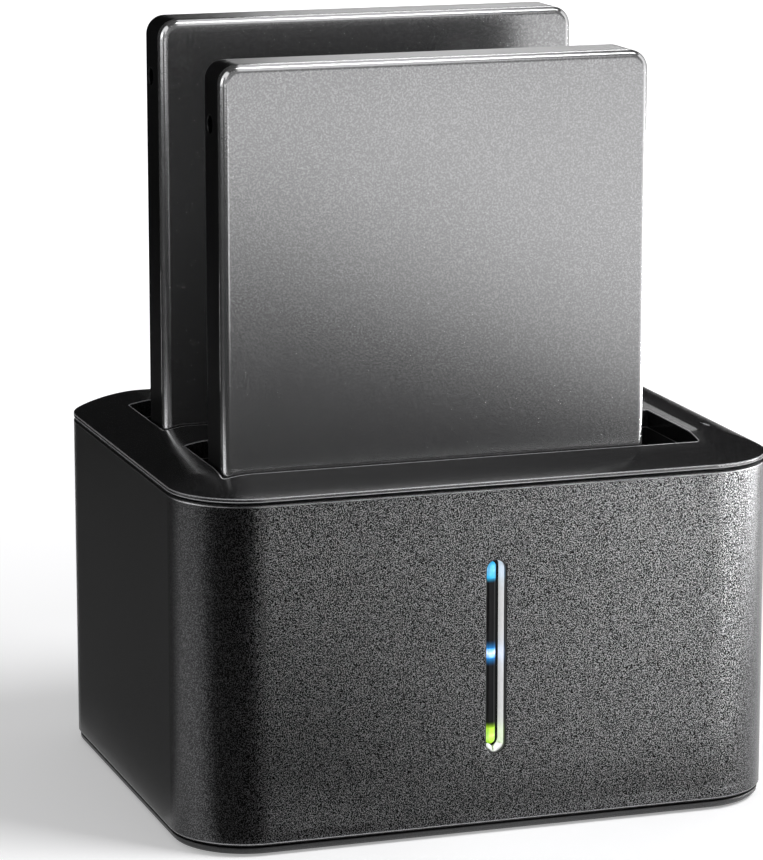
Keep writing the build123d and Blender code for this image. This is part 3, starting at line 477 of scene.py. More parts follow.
    def lens(self, slot, colour, core, spread, strength, centre):
        """Lit lens: a white core that fades into the light's colour along the strip."""
        w, shader, grains = self.start(slot, self.grain, Scale=2500.0)
        away = w.math("ABSOLUTE", w.math("SUBTRACT", w.axis("Object", "Z"), core))
        white = w.remap(away, spread, 0.0, 0.0, centre)
        lit = w.mix(white, rgba(colour), (1.0, 1.0, 1.0, 1.0))
        cells = w.out("ShaderNodeTexVoronoi", {"Vector": w.surface(), "Scale": 1100.0}, feature="F1")
        w.feed(shader, {
            "Emission Color": w.mix(w.remap(cells, *CELL_SHADE), lit, rgba(colour, 0.35)),
            "Emission Strength": strength, "Base Color": w.mix(white, rgba(colour, 0.5), rgba(colour)),
            "Roughness": w.remap(grains["Cloud"], *NOISE_RANGE, 0.18, 0.3),
        })
        self.bump(w, shader, grains["Grain"], 0.004 * MM)

    def strip(self, slot):
        """Smoked strip that carries some of each light away from its lens."""
        w, shader, grains = self.start(slot, self.grain, Scale=2500.0)
        height = w.axis("Object", "Z")
        shade = (0.0, 0.0, 0.0, 1.0)
        for which, (light, *_, reach) in LIGHTS.items():
            low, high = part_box("light_lens_" + which)
            edge = (high.z - low.z) / 2
            away = w.math("ABSOLUTE", w.math("SUBTRACT", height, (low.z + high.z) / 2))
            glow = w.math("POWER", w.remap(away, edge + reach * MM, edge), 2.0)
            shade = w.mix(glow, shade, rgba(getattr(self.colours, light)))
        w.feed(shader, {
            "Base Color": w.mix(grains["Grain"], *map(rgba, STRIP_BLACKS)),
            "Emission Color": shade, "Emission Strength": 0.9, "Specular IOR Level": 0.12,
            "Roughness": w.remap(grains["Cloud"], *NOISE_RANGE, 0.3, 0.4),
        })
        self.bump(w, shader, grains["Grain"], 0.003 * MM)

    def make_all(self):
        """Build the finish of every material slot."""
        c = self.colours
        low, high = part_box("body_shell")
        plain = (low.z + SHELL_RIMS[0], high.z - SHELL_RIMS[1])
        # The shell's and the cover's edges are lightened almost to white: painted highlight lines along the shell's
        # rims and round the cover
        self.moulded("shell_grey", c.shell, 0.3, grain=6200.0, depth=0.03 * MM, contrast=0.97, cloud=0.01, metal=0.95,
                     fade=0.4, edge=20.0, gain=8.0, wear_and_highlight=1.0, plain=plain, fleck=2.8)
        self.moulded("cover_grey", c.cover, 0.2, grain=2600.0, depth=0.008 * MM, contrast=0.3, cloud=0.01, edge=60.0,
                     gain=8.0, wear_and_highlight=1.0)
        for slot, (colour, rough, grain, depth, more) in MOULDED.items():
            self.moulded(slot, colour, rough, grain, depth * MM, **more)
        self.brushed("screw_steel", (0.52, 0.52, 0.53), 0.3, along=(900.0, 900.0, 900.0))
        self.board("board_green", c.board)
        self.brushed("can_aluminium", (0.72, 0.72, 0.73), 0.25, along=(2500.0, 2500.0, 60.0))
        self.brushed("crystal_steel", (0.7, 0.7, 0.71), 0.2)
        self.brushed("contact_gold", (0.9, 0.62, 0.24), 0.2, along=(1500.0, 1500.0, 100.0), radius=0.05 * MM)
        self.brushed("port_steel", (0.6, 0.6, 0.61), 0.28, along=(1800.0, 50.0, 1800.0))
        self.bezel("bezel_silver", (0.9, 0.9, 0.9))
        self.strip("strip_black")
        for which, (light, spread, strength, centre, _) in LIGHTS.items():
            core = middle("light_lens_" + which)[2]
            self.lens("lens_" + light, getattr(c, light), core, spread * MM, strength, centre)
        self.metal("drive_case_metal", c.case, 0.32, depth=0.02 * MM, contrast=0.3)
        self.metal("drive_lid_metal", c.lid, 0.23, depth=0.006 * MM, cloud=0.01, metal=0.9, polish=1.8)


finishes = None


def dress(*nodes):
    """Give CAD nodes the finish of their own material slot."""
    slots = {entry["node"]: entry["material_slot"] for entry in frame["record"]["subparts"]}
    for name in nodes:
        mesh = frame["nodes"][name].data
        material = finishes.by_slot[slots[name]]
        mesh.materials.clear()
        mesh.materials.append(material)


# Mesh helpers

def rounded_outline(low, high, inset, corner, y):
    """Closed loop of points round an upright rounded rectangle, seen from the front."""
    points = []
    reach = corner - inset
    for index, (x, z) in enumerate((
        (high.x - corner, low.z + corner), (high.x - corner, high.z - corner),
        (low.x + corner, high.z - corner), (low.x + corner, low.z + corner),
    )):
        for i in range(CORNER_STEPS + 1):
            angle = math.pi / 2 * (index - 1 + i / CORNER_STEPS)
            points.append((x + reach * math.cos(angle), y, z + reach * math.sin(angle)))
    return points


def add_object(name, data):
    """New object in the scene."""
    new = bpy.data.objects.new(name, data)
    bpy.context.scene.collection.objects.link(new)
    return new


def finish_mesh(name, bm, slot, merge=MERGE):
    """Turn a bmesh into a piece with its finish, doubles merged and normals outward."""
    if merge:
        bmesh.ops.remove_doubles(bm, verts=bm.verts, dist=merge)
    bmesh.ops.recalc_face_normals(bm, faces=bm.faces)
    mesh = bpy.data.meshes.new(name)
    bm.to_mesh(mesh)
    bm.free()
    mesh.materials.append(finishes.by_slot[slot])
    return add_object(name, mesh)


def skin(name, loops, slot):
    """Closed mesh through a row of loops, with a flat cap at each end and a smooth side."""
    bm = bmesh.new()
    rings = [[bm.verts.new(point) for point in loop] for loop in loops]
    for first, second in zip(rings, rings[1:]):
        for i in range(len(first)):
            j = (i + 1) % len(first)
            face = bm.faces.new((first[i], first[j], second[j], second[i]))
            face.smooth = first is not rings[0]
    bm.faces.new(rings[0])
    bm.faces.new(rings[-1][::-1])
    return finish_mesh(name, bm, slot)


def lathe(name, places, profile, slot):
    """Turned shapes at several places: the profile is radius and height, from the underside's middle to the top's."""
    bm = bmesh.new()
    sides = [2 * math.pi * i / TURNED_SIDES for i in range(TURNED_SIDES)]
    for x, y, z in places:
        rings = [
            [bm.verts.new((x + radius * math.cos(side), y + radius * math.sin(side), z + height)) for side in sides]
            for radius, height in profile[1:-1]
        ]
        ends = [bm.verts.new((x, y, z + height)) for radius, height in (profile[0], profile[-1])]
        for i in range(TURNED_SIDES):
            j = (i + 1) % TURNED_SIDES
            bm.faces.new((ends[0], rings[0][j], rings[0][i]))
            bm.faces.new((ends[1], rings[-1][i], rings[-1][j]))
            for first, second in zip(rings, rings[1:]):
                bm.faces.new((first[i], first[j], second[j], second[i]))
    for face in bm.faces:
        face.smooth = True
    piece = finish_mesh(name, bm, slot)
    piece.data.set_sharp_from_angle(angle=SHARP_ANGLE)
    return piece


def turned_profile(parts, tall):
    """A turned profile in metres for a given height, from its lower and its upper part in mm."""
    lower, upper = parts
    return [(r * MM, up * MM) for r, up in lower] + [(r * MM, tall - down * MM) for r, down in upper]


# Geometry node trees

def mesh_tree(name, sizes):
    """Geometry node tree that takes points and named sizes and gives a mesh with one finish."""
    inputs = {"Points": "NodeSocketGeometry", **sizes, "Turn": (0.0, 0.0, 0.0), "Finish": "NodeSocketMaterial"}
    return new_tree(name, "GeometryNodeTree", inputs, {"Mesh": "NodeSocketGeometry"})


def moved(w, mesh, place, turn=(0.0, 0.0, 0.0)):
    """A mesh moved and turned."""
    return w.out("GeometryNodeTransform", {"Geometry": mesh, "Translation": w.xyz(*place), "Rotation": turn})


def block(w, x, y, z):
    """A plain block."""
    return w.out("GeometryNodeMeshCube", {"Size": w.xyz(x, y, z)})


def joined(w, *meshes):
    """Several meshes joined into one."""
    join = w.node("GeometryNodeJoinGeometry")
    for mesh in meshes:
        w.link(mesh, join.inputs[0])
    return join.outputs[0]


def on_points(w, size, end, mesh):
    """Place a mesh on every point, turned as asked, then end the tree."""
    turn = w.out("FunctionNodeEulerToRotation", {0: size["Turn"]})
    copies = w.out("GeometryNodeInstanceOnPoints", {"Points": size["Points"], "Instance": mesh, "Rotation": turn})
    real = w.out("GeometryNodeRealizeInstances", {0: copies})
    w.feed(end, {0: w.out("GeometryNodeSetMaterial", {"Geometry": real, "Material": size["Finish"]})})
    return w.tree


def screw_tree():
    """Cross-head screws: a head with a cross cut into it, a shank and its thread."""
    w, size, end = mesh_tree("Cross-head screws", {
        "Under Radius": 2.0 * MM, "Top Radius": 1.7 * MM, "Head Height": 1.2 * MM, "Shank Radius": 1.0 * MM,
        "Shank Length": 6.0 * MM, "Cross Length": 2.4 * MM, "Cross Width": 0.5 * MM, "Cross Depth": 0.7 * MM,
    })
    reach, radius = size["Shank Length"], size["Shank Radius"]
    head = w.out("GeometryNodeMeshCone", {
        "Vertices": 40, "Radius Top": size["Top Radius"], "Radius Bottom": size["Under Radius"],
        "Depth": size["Head Height"],
    })
    # The second arm is a little shallower, so that no two cut faces lie in one plane
    for turn, depth in ((0.0, 2.0), (math.pi / 2, 1.9)):
        deep = w.times(size["Cross Depth"], depth)
        arm = block(w, size["Cross Length"], size["Cross Width"], deep)
        arm = moved(w, arm, (0.0, 0.0, size["Head Height"]), (0.0, 0.0, turn))
        cut = w.node("GeometryNodeMeshBoolean", {"Mesh 1": head}, operation="DIFFERENCE")
        w.link(arm, cut.inputs["Mesh 2"])
        head = cut.outputs[0]
    shank = w.out("GeometryNodeMeshCylinder", {"Vertices": 24, "Radius": radius, "Depth": reach})
    shank = moved(w, shank, (0.0, 0.0, w.times(reach, -0.5)))
    spiral = w.out("GeometryNodeCurveSpiral", {
        "Resolution": 16, "Rotations": w.math("DIVIDE", reach, w.times(radius, THREAD_PITCH)),
        "Start Radius": radius, "End Radius": radius, "Height": w.times(reach, THREAD_RUN),
    })
    ridge = w.out("GeometryNodeCurvePrimitiveCircle", {"Resolution": 3, "Radius": w.times(radius, THREAD_RIDGE)})
    thread = w.out("GeometryNodeCurveToMesh", {"Curve": spiral, "Profile Curve": ridge, "Fill Caps": True})
    thread = moved(w, thread, (0.0, 0.0, w.times(reach, -THREAD_START)))
    return on_points(w, size, end, joined(w, head, shank, thread))


def lead_tree():
    """Bent leads along the sides of a chip: a shoulder out of the body and a foot on the board."""
    w, size, end = mesh_tree("Chip leads", {
        "Count": 8, "Pitch": 0.8 * MM, "Half Side": 4.0 * MM, "Height": 0.5 * MM, "Width": 0.3 * MM,
        "Reach": 0.7 * MM, "Four Sides": True,
    })
    thick = w.times(size["Width"], LEAD_THICKNESS)

    def bar(length, height, out, up):
        """One straight stretch of a lead."""
        return moved(w, block(w, size["Width"], length, height), (0.0, w.math("ADD", size["Half Side"], out), up))

    half = w.times(size["Reach"], 0.5)
    shoulder = bar(half, thick, w.times(size["Reach"], LEAD_SHOULDER), size["Height"])
    riser = bar(thick, size["Height"], half, w.times(size["Height"], 0.5))
    foot = bar(half, thick, w.times(size["Reach"], LEAD_FOOT), w.times(thick, 0.5))
    back = w.times(w.times(size["Pitch"], w.math("SUBTRACT", size["Count"], 1.0)), -0.5)
    line = w.out("GeometryNodeMeshLine", {
        "Count": size["Count"], "Start Location": w.xyz(back), "Offset": w.xyz(size["Pitch"]),
    })
    lead = joined(w, shoulder, riser, foot)
    row = w.out("GeometryNodeInstanceOnPoints", {"Points": line, "Instance": lead})
    row = w.out("GeometryNodeRealizeInstances", {0: row})
    pair = joined(w, row, moved(w, row, (0.0, 0.0, 0.0), (0.0, 0.0, math.pi)))
    other = moved(w, pair, (0.0, 0.0, 0.0), (0.0, 0.0, math.pi / 2))
    sides = {"Switch": size["Four Sides"], "False": pair, "True": joined(w, pair, other)}
    return on_points(w, size, end, w.out("GeometryNodeSwitch", sides, input_type="GEOMETRY"))


trees = {}


def grow(name, tree, points, sizes, body, slot, *replaced):
    """Run a node tree on points, keep the result as a plain mesh, and place it in the model."""
    mesh = bpy.data.meshes.new(name + " points")
    mesh.from_pydata(points, [], [])
    holder = add_object(name + " points", mesh)
    modifier = holder.modifiers.new(tree.name, "NODES")
    modifier.node_group = tree
    sockets = {item.name: item.identifier for item in tree.interface.items_tree if item.in_out == "INPUT"}
    for label, value in sizes.items():
        modifier[sockets[label]] = value
    modifier[sockets["Finish"]] = finishes.by_slot[slot]
    bpy.context.view_layer.update()
    evaluated = holder.evaluated_get(bpy.context.evaluated_depsgraph_get())
    solid = bpy.data.meshes.new_from_object(evaluated)
    holder.modifiers.remove(modifier)
    bpy.data.objects.remove(holder)
    bm = bmesh.new()
    bm.from_mesh(solid)
    for face in bm.faces:
        face.material_index = 0
    bpy.data.meshes.remove(solid)
    piece = finish_mesh(name, bm, slot, merge=0.0)
    if not piece.data.polygons:
        raise RuntimeError(name + " came out empty")
    if replaced:
        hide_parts(*replaced)
    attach(piece, body)
    return piece


def add_screws(name, kind, node, facing, body="dock", plan=None):
    """Cross-head screws in place of a node's, their heads facing down, up or back, near its corners or on a plan."""
    low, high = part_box(node)
    sizes = {label: size * MM for label, size in zip(SCREW_SIZES, SCREWS[kind])}
    head, tall = sizes["Under Radius"], sizes["Head Height"]
    across = (low.x + head, high.x - head)
    if facing == "back":
        length, turn = high.y - low.y, (-math.pi / 2, 0.0, 0.0)
        points = [(x, high.y - tall, z) for x in across for z in (low.z + head, high.z - head)]
    else:
        length, turn = high.z - low.z, (math.pi if facing == "down" else 0.0, 0.0, 0.0)
        seat = low.z + tall if facing == "down" else high.z - tall
        plan = plan or [(x, y) for x in across for y in (low.y + head, high.y - head)]
        points = [(x, y, seat) for x, y in plan]
    sizes.update({"Shank Length": length - tall, "Turn": turn})
    grow(name, trees["screws"], points, sizes, body, "screw_steel", node)


def lead_sizes(kind, half, four_sides):
    """Inputs of the lead tree for one kind of chip, with half the length of its side."""
    count, *sizes = LEADS[kind]
    sizes = {label: size * MM for label, size in zip(LEAD_SIZES, sizes)}
    return {**sizes, "Count": count, "Half Side": half, "Four Sides": four_sides}


# Operators

class DOCK_OT_finishes(bpy.types.Operator):
    """Build every material"""
    bl_idname = "dock.finishes"
    bl_label = "Finishes"

    def execute(self, context):
        global finishes
        finishes = Finishes(context.scene.dock_colours)
        finishes.make_all()
        trees.update(screws=screw_tree(), leads=lead_tree())
        return {"FINISHED"}


class DOCK_OT_housing(bpy.types.Operator):
    """Dress the shell, cover, base, feet and bay guide"""
    bl_idname = "dock.housing"
    bl_label = "Housing"

    def execute(self, context):
        dress("body_shell", "top_cover", "base_plate", "rubber_feet", "bay_guide", "base_screws", "guide_screws")
        self.feet()
        add_screws("base_cross_screws", "base", "base_screws", "down")
        add_screws("guide_cross_screws", "guide", "guide_screws", "down", plan=self.guide_plan())
        return {"FINISHED"}

    def feet(self):
        """Round rubber feet with a soft rim and two shallow rings underneath."""
        low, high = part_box("rubber_feet")
        profile = turned_profile(FOOT, high.z - low.z)
        radius = max(profile)[0]
        places = [(x, y, low.z) for x in (low.x + radius, high.x - radius) for y in (low.y + radius, high.y - radius)]
        piece = lathe("feet", places, profile, "rubber_black")
        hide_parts("rubber_feet")
        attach(piece, "dock")

    def guide_plan(self):
        """Places of the screws that hold the bay guide up against the cover, clear of the parts on the board."""
        low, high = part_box("guide_screws")
        head = SCREWS["guide"][0] * MM
        left, right = low.x + head, high.x - head
        front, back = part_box("bridge_chips")
        half = (back.x - front.x) / 2
        inner = middle("power_inductors")[1]
        return [(left, inner), (left, high.y - head), (right, front.y + half), (right, back.y - half)]


class DOCK_OT_light_slot(bpy.types.Operator):
    """Dress the light slot with its bezel, strip and lenses"""
    bl_idname = "dock.light_slot"
    bl_label = "Light slot"

    def execute(self, context):
        dress("light_bezel", "light_mask", "light_guide", "light_lens_upper", "light_lens_middle", "light_lens_lower")
        self.facets()
        dress("status_leds", "led_board", "led_header", "led_header_pins")
        return {"FINISHED"}

    def facets(self):
        """Two cut facets in the lower end of the slot's liner, which catch the light from above."""
        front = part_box("light_bezel")[0].y
        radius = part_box("light_mask")[1].x - MASK_LAP
        low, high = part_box("light_lens_lower")
        centre = low.z + high.x
        section = [(radius - inset * MM, front + depth * MM) for inset, depth in FACET_SECTION]
        bm = bmesh.new()
        for ends in FACET_ANGLES:
            a, b = (
                [bm.verts.new((reach * math.cos(angle), y, centre + reach * math.sin(angle))) for reach, y in section]
                for angle in map(math.radians, ends)
            )
            bm.faces.new(a)
            bm.faces.new(b[::-1])
            for i in range(3):
                j = (i + 1) % 3
                bm.faces.new((a[i], b[i], b[j], a[j]))
        piece = finish_mesh("slot_facets", bm, "bezel_silver")
        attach(piece, "dock")


class DOCK_OT_electronics(bpy.types.Operator):
    """Dress the main board and everything that stands on it"""
    bl_idname = "dock.electronics"
    bl_label = "Electronics"

    def execute(self, context):
        dress("main_board", "board_screws", "bridge_chips", "flash_chip", "clock_crystal", "power_inductors")
        dress("board_capacitors", "board_resistors", "front_drive_socket", "rear_drive_socket")
        dress("front_socket_contacts", "rear_socket_contacts")
        add_screws("board_cross_screws", "board", "board_screws", "up")
        self.leads()
        self.cans()
        return {"FINISHED"}

    def leads(self):
        """Leads round the two bridge chips and along the flash chip."""
        low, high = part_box("bridge_chips")
        half = (high.x - low.x) / 2
        points = [(middle("bridge_chips")[0], y, low.z) for y in (low.y + half, high.y - half)]
        grow("bridge_chip_leads", trees["leads"], points, lead_sizes("bridge", half, True), "dock", "port_steel")
        low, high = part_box("flash_chip")
        half = (high.y - low.y) / 2
        points = [(*middle("flash_chip")[:2], low.z)]
        grow("flash_chip_leads", trees["leads"], points, lead_sizes("flash", half, False), "dock", "port_steel")

    def cans(self):
        """Capacitor cans with a groove near the foot and a rolled top."""
        low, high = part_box("board_capacitors")
        profile = turned_profile(CAN, high.z - low.z)
        radius = max(profile)[0]
        x, y, _ = middle("board_capacitors")
        places = [(across, y, low.z) for across in (low.x + radius, x, high.x - radius)]
        piece = lathe("capacitor_cans", places, profile, "can_aluminium")
        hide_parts("board_capacitors")
        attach(piece, "dock")


class DOCK_OT_rear_panel(bpy.types.Operator):
    """Dress the ports, buttons and switches at the rear"""
    bl_idname = "dock.rear_panel"
    bl_label = "Rear panel"

    def execute(self, context):
        dress("dc_jack", "dc_jack_pin", "usb_shell", "usb_core")
        for name in ("power", "clone"):
            dress(name + "_button", name + "_plunger", name + "_switch")
        return {"FINISHED"}


class DOCK_OT_drives(bpy.types.Operator):
    """Dress both drives, and give each a lid with a rounded front edge"""
    bl_idname = "dock.drives"
    bl_label = "Drives"

    def execute(self, context):
        for side in ("front", "rear"):
            for piece in ("case", "lid", "screws", "plug", "contacts", "board", "chips"):
                dress(side + "_drive_" + piece)
            self.lid(side, context.scene.dock_pieces)
            body = side + "_drive"
            add_screws(body + "_cross_screws", "drive", body + "_screws", "back", body)
        return {"FINISHED"}

    def lid(self, side, pieces):
        """Face plate whose front edge is a quarter round, in place of the plain bevel."""
        low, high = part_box(side + "_drive_lid")
        loops = [rounded_outline(low, high, 0.0, pieces.lid_corner, high.y)]
        for i in range(EDGE_STEPS + 1):
            turn = math.pi / 2 * i / EDGE_STEPS
            inset = pieces.lid_round * (1.0 - math.cos(turn))
            depth = low.y + pieces.lid_round * (1.0 - math.sin(turn))
            loops.append(rounded_outline(low, high, inset, pieces.lid_corner, depth))
        piece = skin(side + "_lid", loops, "drive_lid_metal")
        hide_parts(side + "_drive_lid")
        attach(piece, side + "_drive")


def add_lamp(name, kind, place, target, power, **settings):
    """Lamp that faces a target and isn't seen in reflections."""
    lamp = bpy.data.lights.new(name, kind)
    lamp.energy = power
    for label, value in settings.items():
        setattr(lamp, label, value)
    holder = add_object(name, lamp)
    holder.location = place
    holder.visible_glossy = False
    holder.rotation_euler = (Vector(target) - Vector(place)).to_track_quat("-Z", "Y").to_euler()


def seen_rays(w):
    """One for the rays that show the stage, which are the camera's and those in a reflection."""
    path = w.node("ShaderNodeLightPath").outputs
    return w.math("MAXIMUM", path["Is Camera Ray"], path["Is Glossy Ray"])


def bare_material(name):
    """Material without nodes, and its wiring."""
    material = bpy.data.materials.new(name)
    material.use_nodes = True
    material.node_tree.nodes.clear()
    return material, Wiring(material.node_tree)


def white_world(fill):
    """World that is white to the camera and in reflections, and a soft grey fill elsewhere."""
    world = bpy.data.worlds.new("Studio")
    bpy.context.scene.world = world
    world.use_nodes = True
    w = Wiring(world.node_tree)
    w.tree.nodes.clear()
    strength = w.remap(seen_rays(w), 0.0, 1.0, fill, 1.0)
    sky = w.out("ShaderNodeBackground", {"Color": (1.0, 1.0, 1.0, 1.0), "Strength": strength})
    w.node("ShaderNodeOutputWorld", {"Surface": sky})


def upright(start, end, low, high):
    """Corners of an upright card over a line on the floor plan."""
    return [(*start, low), (*end, low), (*end, high), (*start, high)]


def level(height, *plan):
    """Corners of a level card over an outline on the floor plan."""
    return [(*point, height) for point in plan]


# Tones that the flat faces mirror, over a distance along the floor plan: direction, shift, then place and tone
SHELL_TONES = ((1.0, 0.2), 0.02, (
    (-0.03, 0.05), (-0.02, 0.13), (-0.01, 0.24), (0.0, 0.52), (0.01, 0.95), (0.02, 1.38), (0.03, 1.7), (0.04, 1.9),
    (0.05, 2.1), (0.06, 2.4), (0.07, 2.7), (0.08, 3.0)))
DRIVE_TONES = ((1.0, -0.17), 0.0, (
    (-0.03, 0.0), (0.0, 0.0), (0.02, 0.01), (0.035, 0.08), (0.05, 0.23), (0.065, 0.54), (0.08, 0.85), (0.1, 1.08),
    (0.12, 1.3), (0.14, 1.4), (0.17, 1.42), (0.22, 1.42)))

# Cards that only reflections see, each with its tone and its corners
CARDS = {
    # Bright bands on the shell's front and corners
    "Front lamp": (6.0, level(0.7, (0.0, -0.26), (0.5, -0.26), (0.5, -0.13), (0.0, -0.13))),
    "Right strip": (28.0, upright((0.18, -0.32), (0.36, -0.16), 0.0, 0.057)),
    "End strip": (46.0, upright((0.36, -0.13), (0.36, 0.02), 0.0, 0.057)),
    "Corner strip": (12.0, upright((-0.006, -0.19), (0.002, -0.19), 0.0, 0.055)),
    # In front and above: dark near the floor, with paler ones for the drives' edges
    "Low front card": (0.0, upright((-0.5, -0.30), (0.032, -0.30), 0.0, 0.064)),
    "Raised card": (0.3, upright((-0.5, -0.36), (0.4, -0.36), 0.11, 0.26)),
    "Sky card": (0.7, level(0.79, (0.1, -0.6), (0.31, -0.6), (0.31, 0.48), (0.1, 0.48))),
    "Back sky card": (0.7, upright((0.12, 0.48), (0.31, 0.48), 0.45, 0.79)),
    "Front sky card": (0.8, upright((0.08, -0.61), (0.3, -0.61), 0.2, 0.79)),
    "Front dark card": (0.1, upright((-0.5, -0.62), (0.9, -0.62), 0.2, 0.8)),
    "Front left card": (0.05, upright((-0.5, -0.34), (-0.5, -0.136), 0.0, 0.4)),
    # On the floor in front: what the shell's front mirrors, and on the left what the cover's rim does
    "Valley card": (0.12, level(
        0.001, (-0.5, -0.34), (0.045, -0.34), (-0.036, -0.045), (-0.048, -0.040), (-0.5, -0.136))),
    "Floor glow": (SHELL_TONES, level(0.002, (-0.036, -0.043), (0.044, -0.34), (0.3, -0.34), (0.3, -0.043))),
    "Near shade": (0.8, level(0.003, (-0.036, -0.043), (-0.033, -0.06), (0.3, -0.06), (0.3, -0.043))),
    "Left glow card": (3.2, upright((-0.48, -0.03), (-0.48, 0.16), 0.14, 0.3)),
    # Sloped, in front of the cover: what the drives' faces mirror, and what their right edges do
    "Drive glow": (DRIVE_TONES, [
        (-0.3, -0.7, 0.064), (0.6, -0.7, 0.064), (0.6, -0.0425, 0.0575), (-0.3, -0.0425, 0.0575)]),
    "Edge glow": (1.2, level(0.003, (0.26, 0.03), (0.62, 0.03), (0.62, 0.17), (0.26, 0.17))),
    # To the left and behind: dark, but for what lights the rear face and the top edges
    "Left card": (0.02, upright((-0.5, 0.34), (-0.5, 0.5), 0.0, 0.8)),
    "Left floor card": (0.08, level(0.001, (-0.5, 0.35), (-0.052, -0.02), (-0.052, 0.5), (-0.5, 0.5))),
    "Left far card": (0.0, level(0.002, (-0.5, 0.26), (-0.1, 0.26), (-0.1, 0.5), (-0.5, 0.5))),
    "Back card": (0.01, upright((-0.5, 0.5), (0.9, 0.5), 0.0, 0.8)),
    "Back floor card": (1.2, level(0.001, (0.03, 0.043), (0.9, 0.043), (0.9, 0.5), (0.05, 0.5))),
    "Back glow card": (2.8, upright((0.12, 0.49), (0.27, 0.49), 0.2, 0.34)),
    "Face line card": (2.2, upright((-0.054, -0.16), (-0.026, -0.16), 0.06, 0.115)),
    "Side floor card": (0.02, level(
        0.003, (-1.6, -1.0), (-0.31, -1.0), (-0.31, -0.36), (-0.5, -0.36), (-0.5, -0.12), (-0.31, -0.12),
        (-0.30, 0.1), (-0.26, 0.18), (-0.26, 0.255), (-0.5, 0.255), (-0.5, 0.7), (-1.6, 0.7))),
    "Right card": (0.7, upright((0.9, -0.1), (0.9, 0.5), 0.0, 0.8)),
    "Top card": (0.02, level(0.8, (-0.5, -0.6), (0.9, -0.6), (0.9, 0.5), (-0.5, 0.5))),
}


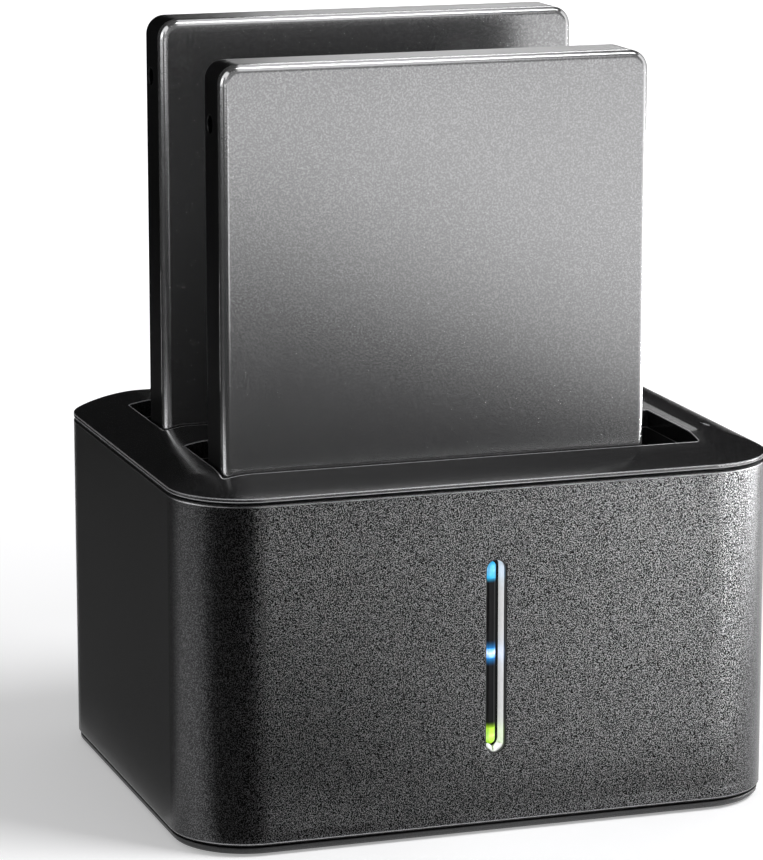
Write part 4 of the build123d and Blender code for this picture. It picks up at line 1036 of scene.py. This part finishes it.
class DOCK_OT_stage(bpy.types.Operator):
    """Set up the floor, the lamps and the camera"""
    bl_idname = "dock.stage"
    bl_label = "Stage"

    def execute(self, context):
        s = context.scene.dock_stage
        white_world(s.fill)
        self.floor(s)
        add_lamp("Key lamp", "AREA", (0.45, -0.35, 0.7), (0, 0, 0.03), s.key_power,
                 shape="RECTANGLE", size=0.35, size_y=0.35)
        # A narrow spot from the left reaches into the light slot and lights its liner
        add_lamp("Slot lamp", "SPOT", (-0.3, -0.5, 0.1), middle("light_bezel"), s.slot_power,
                 spot_size=math.radians(6.0), spot_blend=0.6, shadow_soft_size=0.01)
        self.cards()
        self.camera(s)
        context.scene.view_settings.view_transform = "Standard"
        return {"FINISHED"}

    def cards(self):
        """Cards that only reflections see: pale ones give the faces their tones, dark ones keep the rest dark."""
        for name, (tone, outline) in CARDS.items():
            material, w = bare_material(name)
            glow = w.out("ShaderNodeEmission", {"Strength": self.card_tone(w, tone)})
            w.node("ShaderNodeOutputMaterial", {"Surface": glow})
            material.cycles.emission_sampling = "NONE"
            mesh = bpy.data.meshes.new(name)
            mesh.from_pydata(outline, [], [tuple(range(len(outline)))])
            mesh.materials.append(material)
            card = add_object(name, mesh)
            for ray in ("camera", "diffuse", "shadow"):
                setattr(card, "visible_" + ray, False)

    def card_tone(self, w, tone):
        """A card's brightness: one number, or a smooth run of tones across the floor plan."""
        if isinstance(tone, float):
            return tone
        along, shift, stops = tone
        reach = w.vector("DOT_PRODUCT", w.surface(), (*along, 0.0))
        low, high = stops[0][0], stops[-1][0]
        top = max(bright for place, bright in stops)
        share = w.remap(w.math("ADD", reach, shift), low, high)
        curve = w.node("ShaderNodeFloatCurve", {"Value": share})
        points = curve.mapping.curves[0].points
        while len(points) < len(stops):
            points.new(0.5, 0.5)
        for point, (place, bright) in zip(points, stops):
            point.location = ((place - low) / (high - low), bright / top)
        curve.mapping.update()
        return w.times(curve.outputs[0], top)

    def floor(self, s):
        """Pale floor that is white to the camera where no shadow falls."""
        half = s.floor_size / 2
        mesh = bpy.data.meshes.new("Floor")
        mesh.from_pydata([(-half, -half, 0), (half, -half, 0), (half, half, 0), (-half, half, 0)], [], [(0, 1, 2, 3)])
        floor = add_object("Floor", mesh)
        material, w = bare_material("Pale floor")
        place = w.surface()
        cloud = w.remap(w.noise(place, 3.0), *NOISE_RANGE)
        shade = w.mix(cloud, rgba(s.floor_colour, 0.99), rgba(s.floor_colour, 1.01))
        # Far from the dock the floor glows for the camera, so that it ends in white
        lift = w.remap(w.vector("LENGTH", place), *FLOOR_GLOW)
        strength = w.times(seen_rays(w), lift)
        glow = w.out("ShaderNodeEmission", {"Color": (1.0, 1.0, 1.0, 1.0), "Strength": strength})
        both = w.out("ShaderNodeAddShader", {0: w.out("ShaderNodeBsdfDiffuse", {"Color": shade}), 1: glow})
        w.node("ShaderNodeOutputMaterial", {"Surface": both})
        mesh.materials.append(material)

    def camera(self, s):
        """Camera at the photograph's angle."""
        data = bpy.data.cameras.new("Camera")
        data.sensor_width = 36.0
        data.lens = s.lens
        data.clip_end = 50.0
        holder = add_object("Camera", data)
        holder.location = s.camera
        holder.rotation_euler = (math.pi / 2 - s.pitch, 0.0, -s.yaw)
        bpy.context.scene.camera = holder


class DOCK_PT_panel(bpy.types.Panel):
    """Steps that dress the dock"""
    bl_idname = "DOCK_PT_panel"
    bl_label = "Drive dock"
    bl_space_type = "VIEW_3D"
    bl_region_type = "UI"
    bl_category = "Drive dock"

    def draw(self, context):
        for step in STEPS:
            self.layout.operator("dock." + step)


STEPS = ("finishes", "housing", "light_slot", "electronics", "rear_panel", "drives", "stage")
CLASSES = (
    DockStage, DockColours, DockPieces, DOCK_OT_finishes, DOCK_OT_housing, DOCK_OT_light_slot, DOCK_OT_electronics,
    DOCK_OT_rear_panel, DOCK_OT_drives, DOCK_OT_stage, DOCK_PT_panel,
)


def register():
    """Register the settings, the steps and the panel."""
    for item in CLASSES:
        bpy.utils.register_class(item)
    bpy.types.Scene.dock_stage = bpy.props.PointerProperty(type=DockStage)
    bpy.types.Scene.dock_colours = bpy.props.PointerProperty(type=DockColours)
    bpy.types.Scene.dock_pieces = bpy.props.PointerProperty(type=DockPieces)


def unregister():
    """Take them out again."""
    del bpy.types.Scene.dock_pieces
    del bpy.types.Scene.dock_colours
    del bpy.types.Scene.dock_stage
    for item in reversed(CLASSES):
        bpy.utils.unregister_class(item)


def main():
    """Dress the whole dock."""
    register()
    for step in STEPS:
        getattr(bpy.ops.dock, step)()
    bpy.context.view_layer.update()


if __name__ == "__main__":
    main()
